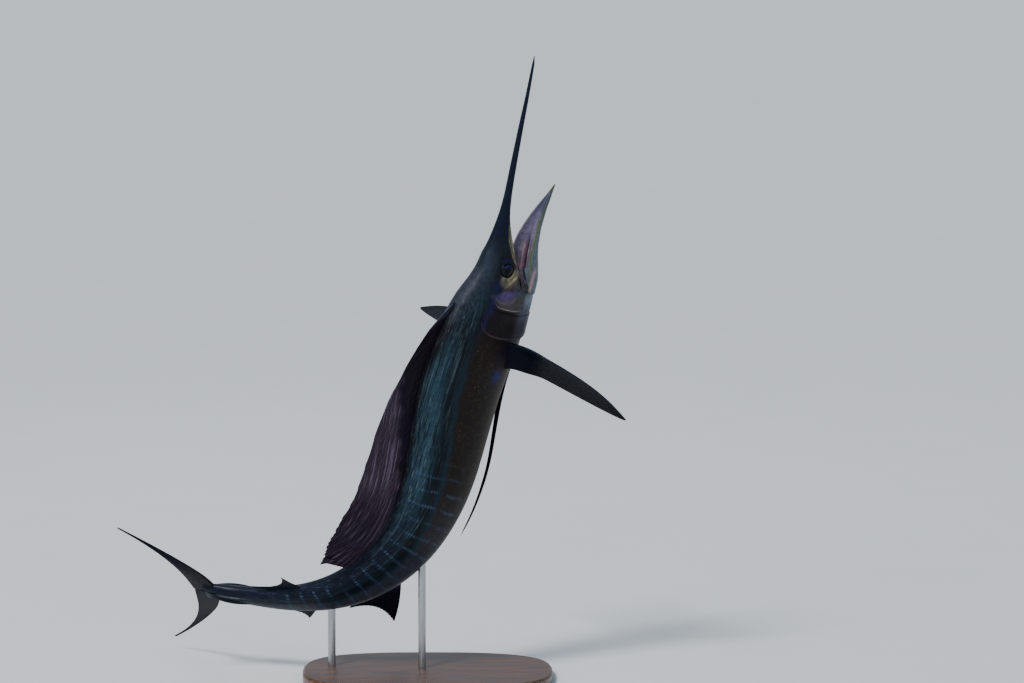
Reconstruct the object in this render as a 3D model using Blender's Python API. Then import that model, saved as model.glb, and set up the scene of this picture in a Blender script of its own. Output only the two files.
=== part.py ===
"""A life-size sailfish leaping head up with its mouth open, on a plain display stand.

The fish is drawn straight first. A place on it is (s, d, r): s runs back from the tip of
the closed lower jaw, d up towards its back, r towards its right side. The spine then bends
that straight fish into its pose. Sizes are metres, +Z is up, and the origin is the centre
of the underside of the stand's base.
"""
import math

import bmesh
import bpy
from mathutils import Quaternion, Vector

# Driving sizes of the straight fish
FORK_LENGTH = 1.85
GAP = 0.0003
BILL_TIP = -0.373
BILL_ROOT = 0.085
HEAD_END = 0.440
FRONT_END = 0.86
MIDDLE_END = 1.24
REAR_END = 1.62
STEM_END = 1.80
MOUTH_CORNER = 0.326
JAW_TIP, JAW_END = 0.035, 0.338
LIP_RISE = 0.0022
TONGUE_RISE = 0.0100
TONGUE_WIDTH = 0.0120
LIP_TURN = 108.0

# Lengths of the body: start, end, rings and points in each ring
LENGTHS = {
    "head": (BILL_ROOT, HEAD_END, 24, 28),
    "body_front": (HEAD_END, FRONT_END, 12, 24),
    "body_middle": (FRONT_END, MIDDLE_END, 11, 24),
    "body_rear": (MIDDLE_END, REAR_END, 10, 24),
    "tail_stem": (REAR_END, STEM_END, 8, 24),
}

# Eye
EYE_S = 0.274
EYE_D = 0.036
EYE_R = 0.0405
EYE_RADIUS = 0.0225
EYE_DEPTH = 0.0140
RIM_RADIUS = 0.0240
RIM_WIDTH = 0.0024
RIM_SINK = 0.0010
NOSTRILS = ((0.2370, 0.0520), (0.2280, 0.0550))
NOSTRIL_RADII = (0.0032, 0.0022, 0.0026)

# Keels of the tail stem
KEEL_FROM, KEEL_TO = 1.660, 1.790
KEEL_RISE = 0.0085

# Pose of the spine
EYE_POINT = Vector((0.235, -0.050, 1.195))
TRUNK_LEAN = math.radians(22.5)
TRUNK_FORWARD = math.radians(3.0)
BACK_TURN = math.radians(38.0)
NECK_LIFT = math.radians(15.5)
NECK_FROM, NECK_TO = 0.18, 0.42
SWAY = math.radians(15.0)
SWAY_FROM, SWAY_TO = 0.42, 0.84
TAIL_BEND = math.radians(84.0)
TAIL_SIDE = math.radians(62.0)
TAIL_FROM, TAIL_TO = 0.80, 1.70
SPINE_STEP = 0.004
SHARP_ANGLE = math.radians(40.0)

# Stand
BASE_LENGTH = 0.72
BASE_WIDTH = 0.50
BASE_THICK = 0.030
ROD_RADIUS = 0.011
ROD_STATIONS = (("stand_rod_front", 1.120), ("stand_rod_rear", 1.425))

# Height of the back and belly above the axis and half the width, along the trunk
TRUNK = (
    (0.360, 0.1268, -0.1220, 0.0620),
    (0.400, 0.1395, -0.1280, 0.0650),
    (0.485, 0.1530, -0.1360, 0.0695),
    (0.560, 0.1600, -0.1390, 0.0710),
    (0.650, 0.1595, -0.1370, 0.0700),
    (0.800, 0.1490, -0.1300, 0.0660),
    (0.950, 0.1340, -0.1180, 0.0600),
    (1.100, 0.1150, -0.1030, 0.0530),
    (1.250, 0.0930, -0.0860, 0.0450),
    (1.400, 0.0700, -0.0670, 0.0360),
    (1.550, 0.0490, -0.0490, 0.0280),
    (1.650, 0.0370, -0.0370, 0.0240),
    (1.720, 0.0320, -0.0320, 0.0200),
    (1.830, 0.0380, -0.0380, 0.0090),
)

# The same for the bill and skull, with the level of the greatest width and the palate's hollow
SKULL = (
    (-0.373, 0.0540, 0.0524, 0.0010, 0.0532, 0.0000),
    (-0.345, 0.0550, 0.0475, 0.0030, 0.0512, 0.0000),
    (-0.250, 0.0560, 0.0455, 0.0055, 0.0508, 0.0000),
    (-0.150, 0.0590, 0.0450, 0.0075, 0.0520, 0.0000),
    (-0.030, 0.0610, 0.0435, 0.0095, 0.0520, 0.0000),
    (0.040, 0.0620, 0.0415, 0.0110, 0.0500, 0.0005),
    (0.085, 0.0650, 0.0390, 0.0130, 0.0470, 0.0015),
    (0.130, 0.0710, 0.0340, 0.0180, 0.0430, 0.0035),
    (0.170, 0.0790, 0.0250, 0.0250, 0.0350, 0.0060),
    (0.210, 0.0890, 0.0130, 0.0340, 0.0250, 0.0080),
    (0.240, 0.0985, 0.0030, 0.0420, 0.0180, 0.0090),
    (0.274, 0.1035, -0.0130, 0.0490, 0.0080, 0.0090),
    (0.300, 0.1090, -0.0300, 0.0525, 0.0040, 0.0070),
    (0.318, 0.1140, -0.0560, 0.0550, 0.0020, 0.0030),
    (0.332, 0.1175, -0.0960, 0.0575, 0.0020, 0.0000),
    (0.346, 0.1225, -0.1180, 0.0595, 0.0040, 0.0000),
    (0.400, 0.1395, -0.1280, 0.0650, 0.0060, 0.0000),
    (0.485, 0.1530, -0.1360, 0.0695, 0.0100, 0.0000),
)

# Rim and keel of the open lower jaw, half its width, and the depth of the hollow inside it
JAW = (
    (0.035, -0.1140, -0.1165, 0.0012, 0.0000),
    (0.055, -0.1040, -0.1120, 0.0048, 0.0010),
    (0.080, -0.0905, -0.1060, 0.0098, 0.0050),
    (0.110, -0.0750, -0.0985, 0.0165, 0.0130),
    (0.140, -0.0620, -0.0930, 0.0235, 0.0200),
    (0.170, -0.0530, -0.0870, 0.0310, 0.0260),
    (0.200, -0.0445, -0.0870, 0.0370, 0.0340),
    (0.240, -0.0390, -0.0940, 0.0420, 0.0430),
    (0.280, -0.0460, -0.1065, 0.0475, 0.0430),
    (0.310, -0.0530, -0.1150, 0.0520, 0.0400),
    (0.338, -0.0600, -0.1150, 0.0560, 0.0300),
)

# Height of the folded sail's edge above the back, by the place of each ray's tip
SAIL_EDGE = (
    (0.410, 0.006),
    (0.450, 0.024),
    (0.500, 0.042),
    (0.540, 0.054),
    (0.600, 0.073),
    (0.660, 0.088),
    (0.720, 0.107),
    (0.780, 0.128),
    (0.840, 0.145),
    (0.920, 0.157),
    (1.000, 0.163),
    (1.150, 0.165),
    (1.280, 0.140),
    (1.380, 0.070),
)
SAIL_FROM, SAIL_TO, SAIL_END = 0.412, 1.310, 1.380
SAIL_RAYS = 36
SAIL_ROWS = 6
SAIL_PARTS = (("sail_front", 0, 12), ("sail_middle", 12, 24), ("sail_rear", 24, 36))

# Fins on the midline: side (1 on the back), start, end, height, rake, trail, rays, rows
MIDLINE_FINS = (
    ("second_dorsal_fin", 1, 1.480, 1.565, 0.062, 0.050, 0.090, 4, 4),
    ("first_anal_fin", -1, 1.230, 1.370, 0.150, 0.105, 0.030, 7, 6),
    ("second_anal_fin", -1, 1.470, 1.555, 0.060, 0.050, 0.085, 4, 4),
)
FIN_ROOT_DEPTH = 0.008

# Paired fins: root, and the way to each tip as length, height and width, with its twist
PECTORAL_S = 0.520
PECTORAL_ROOT = (0.490, -0.056, 0.058)
PECTORAL_SPANS = (
    ("pectoral_fin_right", 1, (0.048, -0.203, 0.355), math.radians(48.0)),
    ("pectoral_fin_left", -1, (0.055, -0.116, 0.385), math.radians(-38.0)),
)
PECTORAL_LAY = Vector((1.0, -0.30, 0.0))
PECTORAL_TWIST_TO = Vector((0.13, -0.61, -0.78))
PECTORAL_SWELL = 0.5
PECTORAL_SWELL_BY = 0.35
PECTORAL_BOW = 0.0190
PECTORAL_TIP = 0.0146
PECTORAL_SICKLE = 0.0125
PECTORAL_WIDTH = 0.0250
PECTORAL_ROOT_FLARE = 0.036
PECTORAL_TIP_WIDTH = 0.002
PELVIC_START, PELVIC_LENGTH = 0.545, 0.50
PELVIC_WIDTH = 0.016
TAIL_ROOT_S = 1.760
TAIL_TIP = (1.985, 0.320)


def ease(x):
    x = min(max(x, 0.0), 1.0)
    return x * x * (3.0 - 2.0 * x)


def curve(table, x):
    """Values of a smooth curve through the table's rows, without overshoot."""
    places = [row[0] for row in table]
    x = min(max(x, places[0]), places[-1])
    i = 0
    while i < len(table) - 2 and x > places[i + 1]:
        i += 1
    width = places[i + 1] - places[i]
    u = (x - places[i]) / width
    values = []
    for k in range(1, len(table[0])):
        start, end = table[i][k], table[i + 1][k]
        m0 = slope(table, i, k) * width
        m1 = slope(table, i + 1, k) * width
        rise = start * (1 + 2 * u) * (1 - u) ** 2 + end * u * u * (3 - 2 * u)
        values.append(rise + m0 * u * (1 - u) ** 2 + m1 * u * u * (u - 1))
    return values


def slope(table, i, k):
    """Slope at a row: the harmonic mean of its neighbours' slopes, or 0 at a turn."""
    last = len(table) - 1
    steps = []
    for a, b in ((i - 1, i), (i, i + 1)):
        if a >= 0 and b <= last:
            steps.append((table[b][k] - table[a][k]) / (table[b][0] - table[a][0]))
    if len(steps) == 1:
        return steps[0]
    if steps[0] * steps[1] <= 0:
        return 0.0
    return 2.0 * steps[0] * steps[1] / (steps[0] + steps[1])


# The spine

def turned(vector, axis, angle):
    return Quaternion(axis, angle) @ vector


def spine_axes(s):
    """Directions headward, to the back and to the right at s."""
    head = Vector((math.sin(TRUNK_LEAN), -math.sin(TRUNK_FORWARD), math.cos(TRUNK_LEAN))).normalized()
    back = Vector((-math.cos(BACK_TURN), -math.sin(BACK_TURN), 0.0))
    back = (back - head * head.dot(back)).normalized()
    right = head.cross(back)
    swayed = turned(head, back, SWAY)
    side = swayed.cross(back)
    bend_to = back * math.cos(TAIL_SIDE) - side * math.sin(TAIL_SIDE)
    bend_axis = swayed.cross(bend_to)
    turns = (
        (right, NECK_LIFT * ease((NECK_TO - s) / (NECK_TO - NECK_FROM))),
        (back, SWAY * ease((s - SWAY_FROM) / (SWAY_TO - SWAY_FROM))),
        (bend_axis, -TAIL_BEND * ease((s - TAIL_FROM) / (TAIL_TO - TAIL_FROM))),
    )
    for axis, angle in turns:
        head = turned(head, axis, angle)
        back = turned(back, axis, angle)
    return head, back, head.cross(back)


def spine_points():
    """Points down the spine every SPINE_STEP, set so that the right eye is at EYE_POINT."""
    first = BILL_TIP - 0.1
    count = int(round((FORK_LENGTH + 0.3 - first) / SPINE_STEP))
    points = [Vector((0.0, 0.0, 0.0))]
    for i in range(count):
        head = spine_axes(first + (i + 0.5) * SPINE_STEP)[0]
        points.append(points[-1] - head * SPINE_STEP)
    return first, points


SPINE_START, SPINE = spine_points()


def spine_point(s):
    x = (s - SPINE_START) / SPINE_STEP
    i = min(max(int(x), 0), len(SPINE) - 2)
    return SPINE[i].lerp(SPINE[i + 1], x - i)


def bent(s, d, r):
    head, back, right = spine_axes(s)
    return spine_point(s) + back * d + right * r


OFFSET = EYE_POINT - bent(EYE_S, EYE_D, EYE_R + EYE_DEPTH)


def place(s, d, r):
    """The point of the posed fish at (s, d, r) of the straight one."""
    return bent(s, d, r) + OFFSET


# Mesh helpers

def principled(name, colour, roughness, metallic=0.0):
    material = bpy.data.materials.new(name)
    material.use_nodes = True
    shader = material.node_tree.nodes["Principled BSDF"]
    shader.inputs["Base Color"].default_value = (*colour, 1.0)
    shader.inputs["Roughness"].default_value = roughness
    shader.inputs["Metallic"].default_value = metallic
    return material


def dark_skin(name):
    return principled(name + "_skin", (0.030, 0.040, 0.055), 0.32)


def fin_skin(name):
    return principled(name + "_membrane", (0.020, 0.018, 0.040), 0.38)


def add_object(name, verts, faces, material):
    """An object from points and faces, its faces turned to point out."""
    mesh = bpy.data.meshes.new(name)
    mesh.from_pydata([tuple(v) for v in verts], [], faces)
    bm = bmesh.new()
    bm.from_mesh(mesh)
    bmesh.ops.triangulate(bm, faces=bm.faces, quad_method="FIXED")
    bmesh.ops.recalc_face_normals(bm, faces=bm.faces)
    if bm.calc_volume(signed=True) < 0:
        bmesh.ops.reverse_faces(bm, faces=bm.faces)
    bm.to_mesh(mesh)
    bm.free()
    mesh.shade_smooth()
    mesh.set_sharp_from_angle(angle=SHARP_ANGLE)
    if material:
        mesh.materials.append(material)
    obj = bpy.data.objects.new(name, mesh)
    bpy.context.scene.collection.objects.link(obj)
    return obj


def combine(target, tools, operation):
    """Apply one Boolean of the target with the closed tool objects, then remove them."""
    for tool in tools:
        modifier = target.modifiers.new(operation.lower(), "BOOLEAN")
        modifier.operation = operation
        modifier.solver = "EXACT"
        modifier.object = tool
        bpy.context.view_layer.update()
        depsgraph = bpy.context.evaluated_depsgraph_get()
        mesh = bpy.data.meshes.new_from_object(target.evaluated_get(depsgraph))
        target.modifiers.clear()
        target.data = mesh
    for tool in tools:
        bpy.data.objects.remove(tool, do_unlink=True)
    keep_largest(target)
    return target


def keep_largest(obj):
    """Drop every surface of the object but its largest closed one."""
    bm = bmesh.new()
    bm.from_mesh(obj.data)
    bmesh.ops.remove_doubles(bm, verts=bm.verts, dist=1e-6)
    bmesh.ops.dissolve_degenerate(bm, edges=bm.edges, dist=1e-6)
    left = set(bm.verts)
    pieces = []
    while left:
        stack = [left.pop()]
        piece = set(stack)
        while stack:
            for edge in stack.pop().link_edges:
                for vert in edge.verts:
                    if vert in left:
                        left.remove(vert)
                        piece.add(vert)
                        stack.append(vert)
        pieces.append(piece)
    pieces.sort(key=len)
    for piece in pieces[:-1]:
        bmesh.ops.delete(bm, geom=list(piece), context="VERTS")
    bm.to_mesh(obj.data)
    bm.free()
    obj.data.set_sharp_from_angle(angle=SHARP_ANGLE)


def loft(name, rings, material):
    """A closed solid through rings of equal count, its end rings filled flat."""
    count = len(rings[0])
    verts = [point for ring in rings for point in ring]
    faces = []
    for i in range(len(rings) - 1):
        for j in range(count):
            k = (j + 1) % count
            a, b = i * count + j, i * count + k
            faces.append((a, b, b + count, a + count))
    faces.append(tuple(range(count)))
    last = (len(rings) - 1) * count
    faces.append(tuple(range(last, last + count)))
    return add_object(name, verts, faces, material)


def stations(start, end, count):
    return [start + (end - start) * i / (count - 1) for i in range(count)]


# Cross sections

def body_sizes(s):
    if s <= 0.400:
        top, bottom, half, level, hollow = curve(SKULL, s)
    else:
        top, bottom, half = curve(TRUNK, s)
        blend = ease((s - 0.400) / 0.25)
        level = 0.0060 * (1.0 - blend) + 0.5 * (top + bottom) * blend
        hollow = 0.0
    return top, bottom, half, level, hollow


def upper_lip(s, turn):
    """How far the lip of the upper jaw stands out, by the angle from the back."""
    along = ease((s - 0.100) / 0.060) * ease((MOUTH_CORNER + 0.012 - s) / 0.030)
    off = (math.degrees(math.acos(math.cos(turn))) - LIP_TURN) / 13.0
    return LIP_RISE * along * math.exp(-off * off)


def body_ring(s, count, grow=0.0):
    """Points round the fish at s, starting at the back and passing its right side."""
    top, bottom, half, level, hollow = body_sizes(s)
    ring = []
    for j in range(count):
        turn = 2.0 * math.pi * j / count
        out = half + grow + upper_lip(s, turn)
        r = out * math.copysign(abs(math.sin(turn)) ** 0.9, math.sin(turn))
        if math.cos(turn) >= 0.0:
            d = level + (top + grow - level) * abs(math.cos(turn)) ** 0.95
        else:
            d = level - (level - bottom + grow) * abs(math.cos(turn)) ** 0.95
            inner = 1.0 - (r / (0.80 * half)) ** 2
            d += hollow * max(inner, 0.0)
        ring.append(place(s, d, r))
    return ring


def ring_places(start, end, steps, grow):
    """Places of a length's rings; a grown length runs on by the gap at both ends."""
    places = stations(start + GAP / 2, end - GAP / 2, steps)
    if grow:
        places = [places[0] - GAP] + places + [places[-1] + GAP]
    return places


def length_solid(name, length, material, grow=0.0):
    start, end, steps, count = LENGTHS[length]
    rings = [body_ring(s, count, grow) for s in ring_places(start, end, steps, grow)]
    return loft(name, rings, material)


def grown_near(start, end, grow=GAP):
    """The lengths of the body near a place, grown by the gap to cut what meets them."""
    cutters = []
    for length, (first, last, steps, count) in LENGTHS.items():
        if first < end and last > start:
            cutters.append(length_solid("cutter", length, None, grow))
    return cutters


# Head

def make_bill():
    tip = stations(BILL_TIP, BILL_TIP + 0.03, 3)
    rest = stations(BILL_TIP + 0.06, BILL_ROOT - GAP / 2, 8)
    rings = [body_ring(s, 12) for s in tip + rest]
    return loft("bill", rings, dark_skin("bill"))


def lens(name, centre, radii, rows, columns, material):
    """A closed ellipsoid in fish coordinates, its short axis towards the side."""
    verts = []
    faces = []
    for i in range(1, rows):
        a = math.pi * i / rows
        for j in range(columns):
            b = 2.0 * math.pi * j / columns
            s = centre[0] + radii[0] * math.sin(a) * math.cos(b)
            d = centre[1] + radii[1] * math.sin(a) * math.sin(b)
            verts.append(place(s, d, centre[2] + radii[2] * math.cos(a)))
    for i in range(rows - 2):
        for j in range(columns):
            k = (j + 1) % columns
            a, b = i * columns + j, i * columns + k
            faces.append((a, b, b + columns, a + columns))
    for pole, row in ((radii[2], 0), (-radii[2], rows - 2)):
        verts.append(place(centre[0], centre[1], centre[2] + pole))
        for j in range(columns):
            faces.append((len(verts) - 1, row * columns + j, row * columns + (j + 1) % columns))
    return add_object(name, verts, faces, material)


def eye_solid(name, side, grow, material):
    """A lens that stands a little proud of the head."""
    radii = (EYE_RADIUS + grow, EYE_RADIUS + grow, EYE_DEPTH + grow)
    return lens(name, (EYE_S, EYE_D, side * EYE_R), radii, 10, 18, material)


def side_width(s, d):
    """Half the width of the fish at the height d."""
    top, bottom, half, level, hollow = body_sizes(s)
    if d >= level:
        share = (d - level) / (top - level)
    else:
        share = (level - d) / (level - bottom)
    turn = math.acos(min(share, 1.0) ** (1.0 / 0.95))
    return half * math.sin(turn) ** 0.9


def eye_rim(side):
    """The raised rim of skin round the eye."""
    columns, sides = 20, 6
    verts = []
    faces = []
    for i in range(columns):
        a = 2.0 * math.pi * i / columns
        for j in range(sides):
            b = 2.0 * math.pi * j / sides
            reach = RIM_RADIUS + RIM_WIDTH * math.cos(b)
            s = EYE_S + reach * math.cos(a)
            d = EYE_D + reach * math.sin(a)
            r = side_width(s, d) - RIM_SINK + RIM_WIDTH * math.sin(b)
            verts.append(place(s, d, side * r))
            k, m = (i + 1) % columns, (j + 1) % sides
            faces.append((i * sides + j, k * sides + j, k * sides + m, i * sides + m))
    return add_object("rim", verts, faces, None)


def nostrils(side):
    """Cutters for the two nostrils in front of the eye."""
    pits = []
    for s, d in NOSTRILS:
        centre = (s, d, side * side_width(s, d))
        pits.append(lens("pit", centre, NOSTRIL_RADII, 8, 12, None))
    return pits


def make_head():
    head = length_solid("head", "head", dark_skin("head"))
    combine(head, [eye_rim(side) for side in (1, -1)], "UNION")
    tools = []
    for side in (1, -1):
        tools.append(eye_solid("socket", side, GAP, None))
        tools += nostrils(side)
    return combine(head, tools, "DIFFERENCE")


def make_eyes():
    for name, side in (("eye_right", 1), ("eye_left", -1)):
        eye_solid(name, side, 0.0, principled(name + "_lens", (0.01, 0.015, 0.05), 0.08))


def jaw_ring(s):
    """Round the jaw at s: under it from rim to rim, then back through its hollow."""
    rim, keel, half, hollow = curve(JAW, s)
    lip = min(0.0040, 0.45 * half)
    ring = []
    for j in range(11):
        a = math.pi * j / 10
        out = half + 0.0014 * math.exp(-(8.0 * math.sin(a)) ** 2) * min(half / 0.03, 1.0)
        ring.append(place(s, rim - (rim - keel) * math.sin(a), out * math.cos(a)))
    for j in range(11):
        a = math.pi * (1.0 - j / 10)
        r = (half - lip) * math.cos(a)
        tongue = TONGUE_RISE * ease((s - 0.160) / 0.050) * math.exp(-(r / TONGUE_WIDTH) ** 2)
        ring.append(place(s, rim + 0.0004 - hollow * math.sin(a) + tongue, r))
    return ring


def make_lower_jaw():
    rings = [jaw_ring(s) for s in stations(JAW_TIP, JAW_END, 15)]
    jaw = loft("lower_jaw", rings, dark_skin("lower_jaw"))
    return combine(jaw, grown_near(0.30, 0.34, 3.0 * GAP), "DIFFERENCE")


# Gill covers

GILL_FRONT, GILL_REAR = 0.382, 0.485
GILL_TOP, GILL_LOW = math.radians(60), math.radians(158)
GILL_FLARE = 0.016
GILL_THROAT = 0.060
GILL_SHOULDER = 0.044
GILL_TUCK = 0.9


def side_point(s, turn, out):
    """A point at the angle turn from the back, out beyond the body's side."""
    top, bottom, half, level, hollow = body_sizes(s)
    r = (half + out) * abs(math.sin(turn)) ** 0.9
    if math.cos(turn) >= 0.0:
        d = level + (top + out - level) * abs(math.cos(turn)) ** 0.95
    else:
        d = level - (level - bottom + out) * abs(math.cos(turn)) ** 0.95
    return s, d, r


def gill_surface(side, u, v, outer):
    """u runs from the front edge to the rear, v from the top to the throat."""
    rear = GILL_REAR - GILL_THROAT * v * v - GILL_SHOULDER * (1.0 - v) ** 8
    front = GILL_FRONT + 0.007 * math.sin(math.pi * v)
    s = front + (rear - front) * u
    turn = GILL_TOP + (GILL_LOW - GILL_TOP) * v
    flare = GILL_FLARE * ease((u - 0.25) / 0.75) * ease(v / 0.5) * (1.0 - GILL_TUCK * ease((v - 0.6) / 0.4))
    thick = 0.0012 + 0.0034 * math.sin(math.pi * min(u + 0.12, 1.0)) * math.sin(math.pi * (0.1 + 0.8 * v))
    out = 2.0 * GAP + flare + (thick if outer else 0.0)
    s, d, r = side_point(s, turn, out)
    return place(s, d, side * r)


def make_gill_cover(name, side):
    columns, rows = 8, 12
    grid = [[(u / columns, v / rows) for v in range(rows + 1)] for u in range(columns + 1)]
    outer = [[gill_surface(side, u, v, True) for u, v in line] for line in grid]
    inner = [[gill_surface(side, u, v, False) for u, v in line] for line in grid]
    sheet(name, outer, inner, dark_skin(name))


# Fins

def sheet(name, upper, lower, material):
    """A closed thin solid between two grids of points, split alike on both faces."""
    columns, rows = len(upper), len(upper[0])
    verts = [p for line in upper for p in line] + [p for line in lower for p in line]
    under = columns * rows
    faces = []
    for i in range(columns - 1):
        for j in range(rows - 1):
            a, b = i * rows + j, (i + 1) * rows + j
            faces += [(a, b, b + 1), (a, b + 1, a + 1)]
            faces += [(under + a, under + b + 1, under + b), (under + a, under + a + 1, under + b + 1)]
    rim = [(i, 0) for i in range(columns)] + [(columns - 1, j) for j in range(1, rows)]
    rim += [(i, rows - 1) for i in range(columns - 2, -1, -1)] + [(0, j) for j in range(rows - 2, 0, -1)]
    marks = [i * rows + j for i, j in rim]
    for a, b in zip(marks, marks[1:] + marks[:1]):
        faces += [(a, under + a, under + b), (a, under + b, b)]
    return add_object(name, verts, faces, material)


def fin(name, middle, columns, rows, thickness, material):
    """A fin round its middle surface: middle(u, v), u across the rays and v along them."""
    step = 1e-3
    upper, lower = [], []
    for i in range(columns + 1):
        above, below = [], []
        for j in range(rows + 1):
            u, v = i / columns, j / rows
            point = middle(u, v)
            along_u = middle(min(u + step, 1.0), v) - middle(max(u - step, 0.0), v)
            along_v = middle(u, min(v + step, 1.0)) - middle(u, max(v - step, 0.0))
            normal = along_u.cross(along_v).normalized()
            half = 0.5 * thickness(u, v, i)
            above.append(point + normal * half)
            below.append(point - normal * half)
        upper.append(above)
        lower.append(below)
    return sheet(name, upper, lower, material)


def rayed(base, edge, ridge):
    """Thickness from base to edge, with a ridge along every second column."""
    def thickness(u, v, column):
        rise = ridge if column % 2 else 0.0
        return base + (edge - base) * v ** 0.7 + rise * (1.0 - 0.6 * v)
    return thickness


def back_height(s):
    return body_sizes(s)[0]


def belly_height(s):
    return body_sizes(s)[1]


def sail_point(u, v):
    """u counts along the base of the sail, v up each folded ray."""
    base = SAIL_FROM + (SAIL_TO - SAIL_FROM) * u
    reach = 0.012 + 0.345 * math.sin(math.pi * min(u / 0.98, 1.0)) ** 0.85 + 0.045 * u
    tip = min(base + reach, SAIL_END)
    height = -0.010 + (curve(SAIL_EDGE, tip)[0] + 0.010) * v
    s = base + (tip - base) * v
    sway = 0.010 * math.sin(5.0 * u + 1.0) * v * v
    return place(s, back_height(s) + height, sway)


def make_sail():
    for name, first, last in SAIL_PARTS:
        gap = 0.0004 / (SAIL_TO - SAIL_FROM)
        start = first / SAIL_RAYS + (gap if first else 0.0)
        end = last / SAIL_RAYS

        def part(u, v, start=start, end=end):
            return sail_point(start + (end - start) * u, v)

        columns = 2 * (last - first)
        node = fin(name, part, columns, SAIL_ROWS, rayed(0.0024, 0.0010, 0.0016), fin_skin(name))
        combine(node, grown_near(SAIL_FROM - 0.03, SAIL_TO + 0.10), "DIFFERENCE")


def midline_fin(name, side, start, end, height, rake, trail, rays, rows):
    """A fin on the midline: rake leans its front back, trail draws out its rear corner."""
    def middle(u, v):
        base = start + (end - start) * u
        if side > 0:
            foot = back_height(base) - FIN_ROOT_DEPTH
        else:
            foot = belly_height(base) + FIN_ROOT_DEPTH
        front = (1.0 - u) ** 1.6
        rise = height * (front + 0.18 * u) * v + FIN_ROOT_DEPTH * v
        sweep = rake * front * v + trail * u ** 3 * v
        return place(base + sweep, foot + side * rise, 0.0)

    node = fin(name, middle, 2 * rays, rows, rayed(0.0030, 0.0010, 0.0012), fin_skin(name))
    return combine(node, grown_near(start - 0.06, end + 0.10), "DIFFERENCE")


def pectoral_edges(reach):
    """Places of the leading and trailing edges behind the line from root to tip."""
    front = PECTORAL_TIP * reach ** 3 - PECTORAL_BOW * math.sin(math.pi * reach ** 0.62)
    front -= PECTORAL_SICKLE * math.sin(math.pi * reach ** 2.2)
    rear = PECTORAL_TIP + PECTORAL_WIDTH * (1.0 - reach) ** 0.55 + PECTORAL_ROOT_FLARE * (1.0 - reach) ** 9
    return front, rear + PECTORAL_TIP_WIDTH


def make_pectoral(name, side, span, twist):
    """A long pointed fin spread from the side, drawn in the frame of its own root."""
    head, back, right = spine_axes(PECTORAL_S)
    origin = place(PECTORAL_S, 0.0, 0.0)
    root = Vector((PECTORAL_ROOT[0] - PECTORAL_S, PECTORAL_ROOT[1], PECTORAL_ROOT[2]))
    span = Vector(span)

    def middle(u, v):
        reach = -0.07 + 1.07 * v
        beyond = max(reach, 0.0)
        outer = ease(beyond / PECTORAL_SWELL_BY)
        front, rear = pectoral_edges(beyond)
        chord = (front + (rear - front) * u) * (1.0 + PECTORAL_SWELL * outer)
        across = PECTORAL_LAY * math.cos(twist * outer) + PECTORAL_TWIST_TO * math.sin(twist * outer)
        local = root + span * reach + across * chord
        return origin - head * local.x + back * local.y + right * side * local.z

    node = fin(name, middle, 16, 12, rayed(0.0060, 0.0012, 0.0012), fin_skin(name))
    return combine(node, grown_near(0.36, 0.80), "DIFFERENCE")


def make_pelvic(name, side):
    """A thin strap that trails close under the belly."""
    def middle(u, v):
        s = PELVIC_START + 0.020 * u + PELVIC_LENGTH * (v - 0.02)
        drop = -0.007 + 0.030 * ease(v * 1.4) + 0.012 * v
        width = PELVIC_WIDTH * (1.0 - v) ** 0.8 + 0.003
        across = (u - 0.5) * width
        return place(s, belly_height(s) - drop - 0.4 * across, side * (0.014 + 0.008 * v + across))

    node = fin(name, middle, 4, 12, rayed(0.0040, 0.0012, 0.0010), fin_skin(name))
    return combine(node, grown_near(0.50, 1.10), "DIFFERENCE")


# Tail

def make_tail_lobe(name, side):
    """One lobe of the tail: u from its leading edge to the fork, v from root to edge."""
    tip_s, tip_d = TAIL_TIP
    notch_s = FORK_LENGTH - 0.010

    def middle(u, v):
        lead = Vector((TAIL_ROOT_S + (tip_s - TAIL_ROOT_S) * v ** 1.35, 0.024 + (tip_d - 0.024) * v))
        trail_s = notch_s + (tip_s + 0.004 - notch_s) * v ** 2.2
        trail = Vector((trail_s, 0.0004 + (tip_d - 0.004) * v))
        inner = Vector((1.765 + 0.070 * u, 0.008 * (1.0 - u) + 0.0004))
        outer = lead.lerp(trail, u)
        point = inner.lerp(outer, math.sin(0.5 * math.pi * min(v * 4.0, 1.0)))
        return place(point.x, side * point.y, 0.0)

    node = fin(name, middle, 14, 10, rayed(0.0085, 0.0016, 0.0014), fin_skin(name))
    return combine(node, grown_near(1.64, STEM_END), "DIFFERENCE")


def keel(side, level):
    """A low ridge along the side of the tail stem."""
    def middle(u, v):
        s = KEEL_FROM + (KEEL_TO - KEEL_FROM) * u
        d = level * (1.0 - 0.25 * u)
        root = side_width(s, d) - 0.004
        rise = 0.004 + KEEL_RISE * math.sin(math.pi * u) ** 0.8
        return place(s, d, side * (root + rise * v))

    return fin("keel", middle, 8, 1, rayed(0.0050, 0.0018, 0.0), None)


def make_body():
    for name in ("body_front", "body_middle", "body_rear"):
        length_solid(name, name, dark_skin(name))
    stem = length_solid("tail_stem", "tail_stem", dark_skin("tail_stem"))
    combine(stem, [keel(side, level) for side in (1, -1) for level in (0.012, -0.012)], "UNION")


# Stand

def make_base():
    rings = []
    levels = ((0.0, 0.006), (0.004, 0.0), (BASE_THICK - 0.006, 0.0), (BASE_THICK, 0.006))
    for z, inset in levels:
        ring = []
        for j in range(48):
            a = 2.0 * math.pi * j / 48
            x = math.copysign(abs(math.cos(a)) ** 0.7, math.cos(a)) * (BASE_LENGTH / 2 - inset)
            y = math.copysign(abs(math.sin(a)) ** 0.7, math.sin(a)) * (BASE_WIDTH / 2 - inset)
            ring.append(Vector((x, y, z)))
        rings.append(ring)
    return loft("stand_base", rings, principled("stand_base_wood", (0.045, 0.028, 0.018), 0.35))


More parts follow.
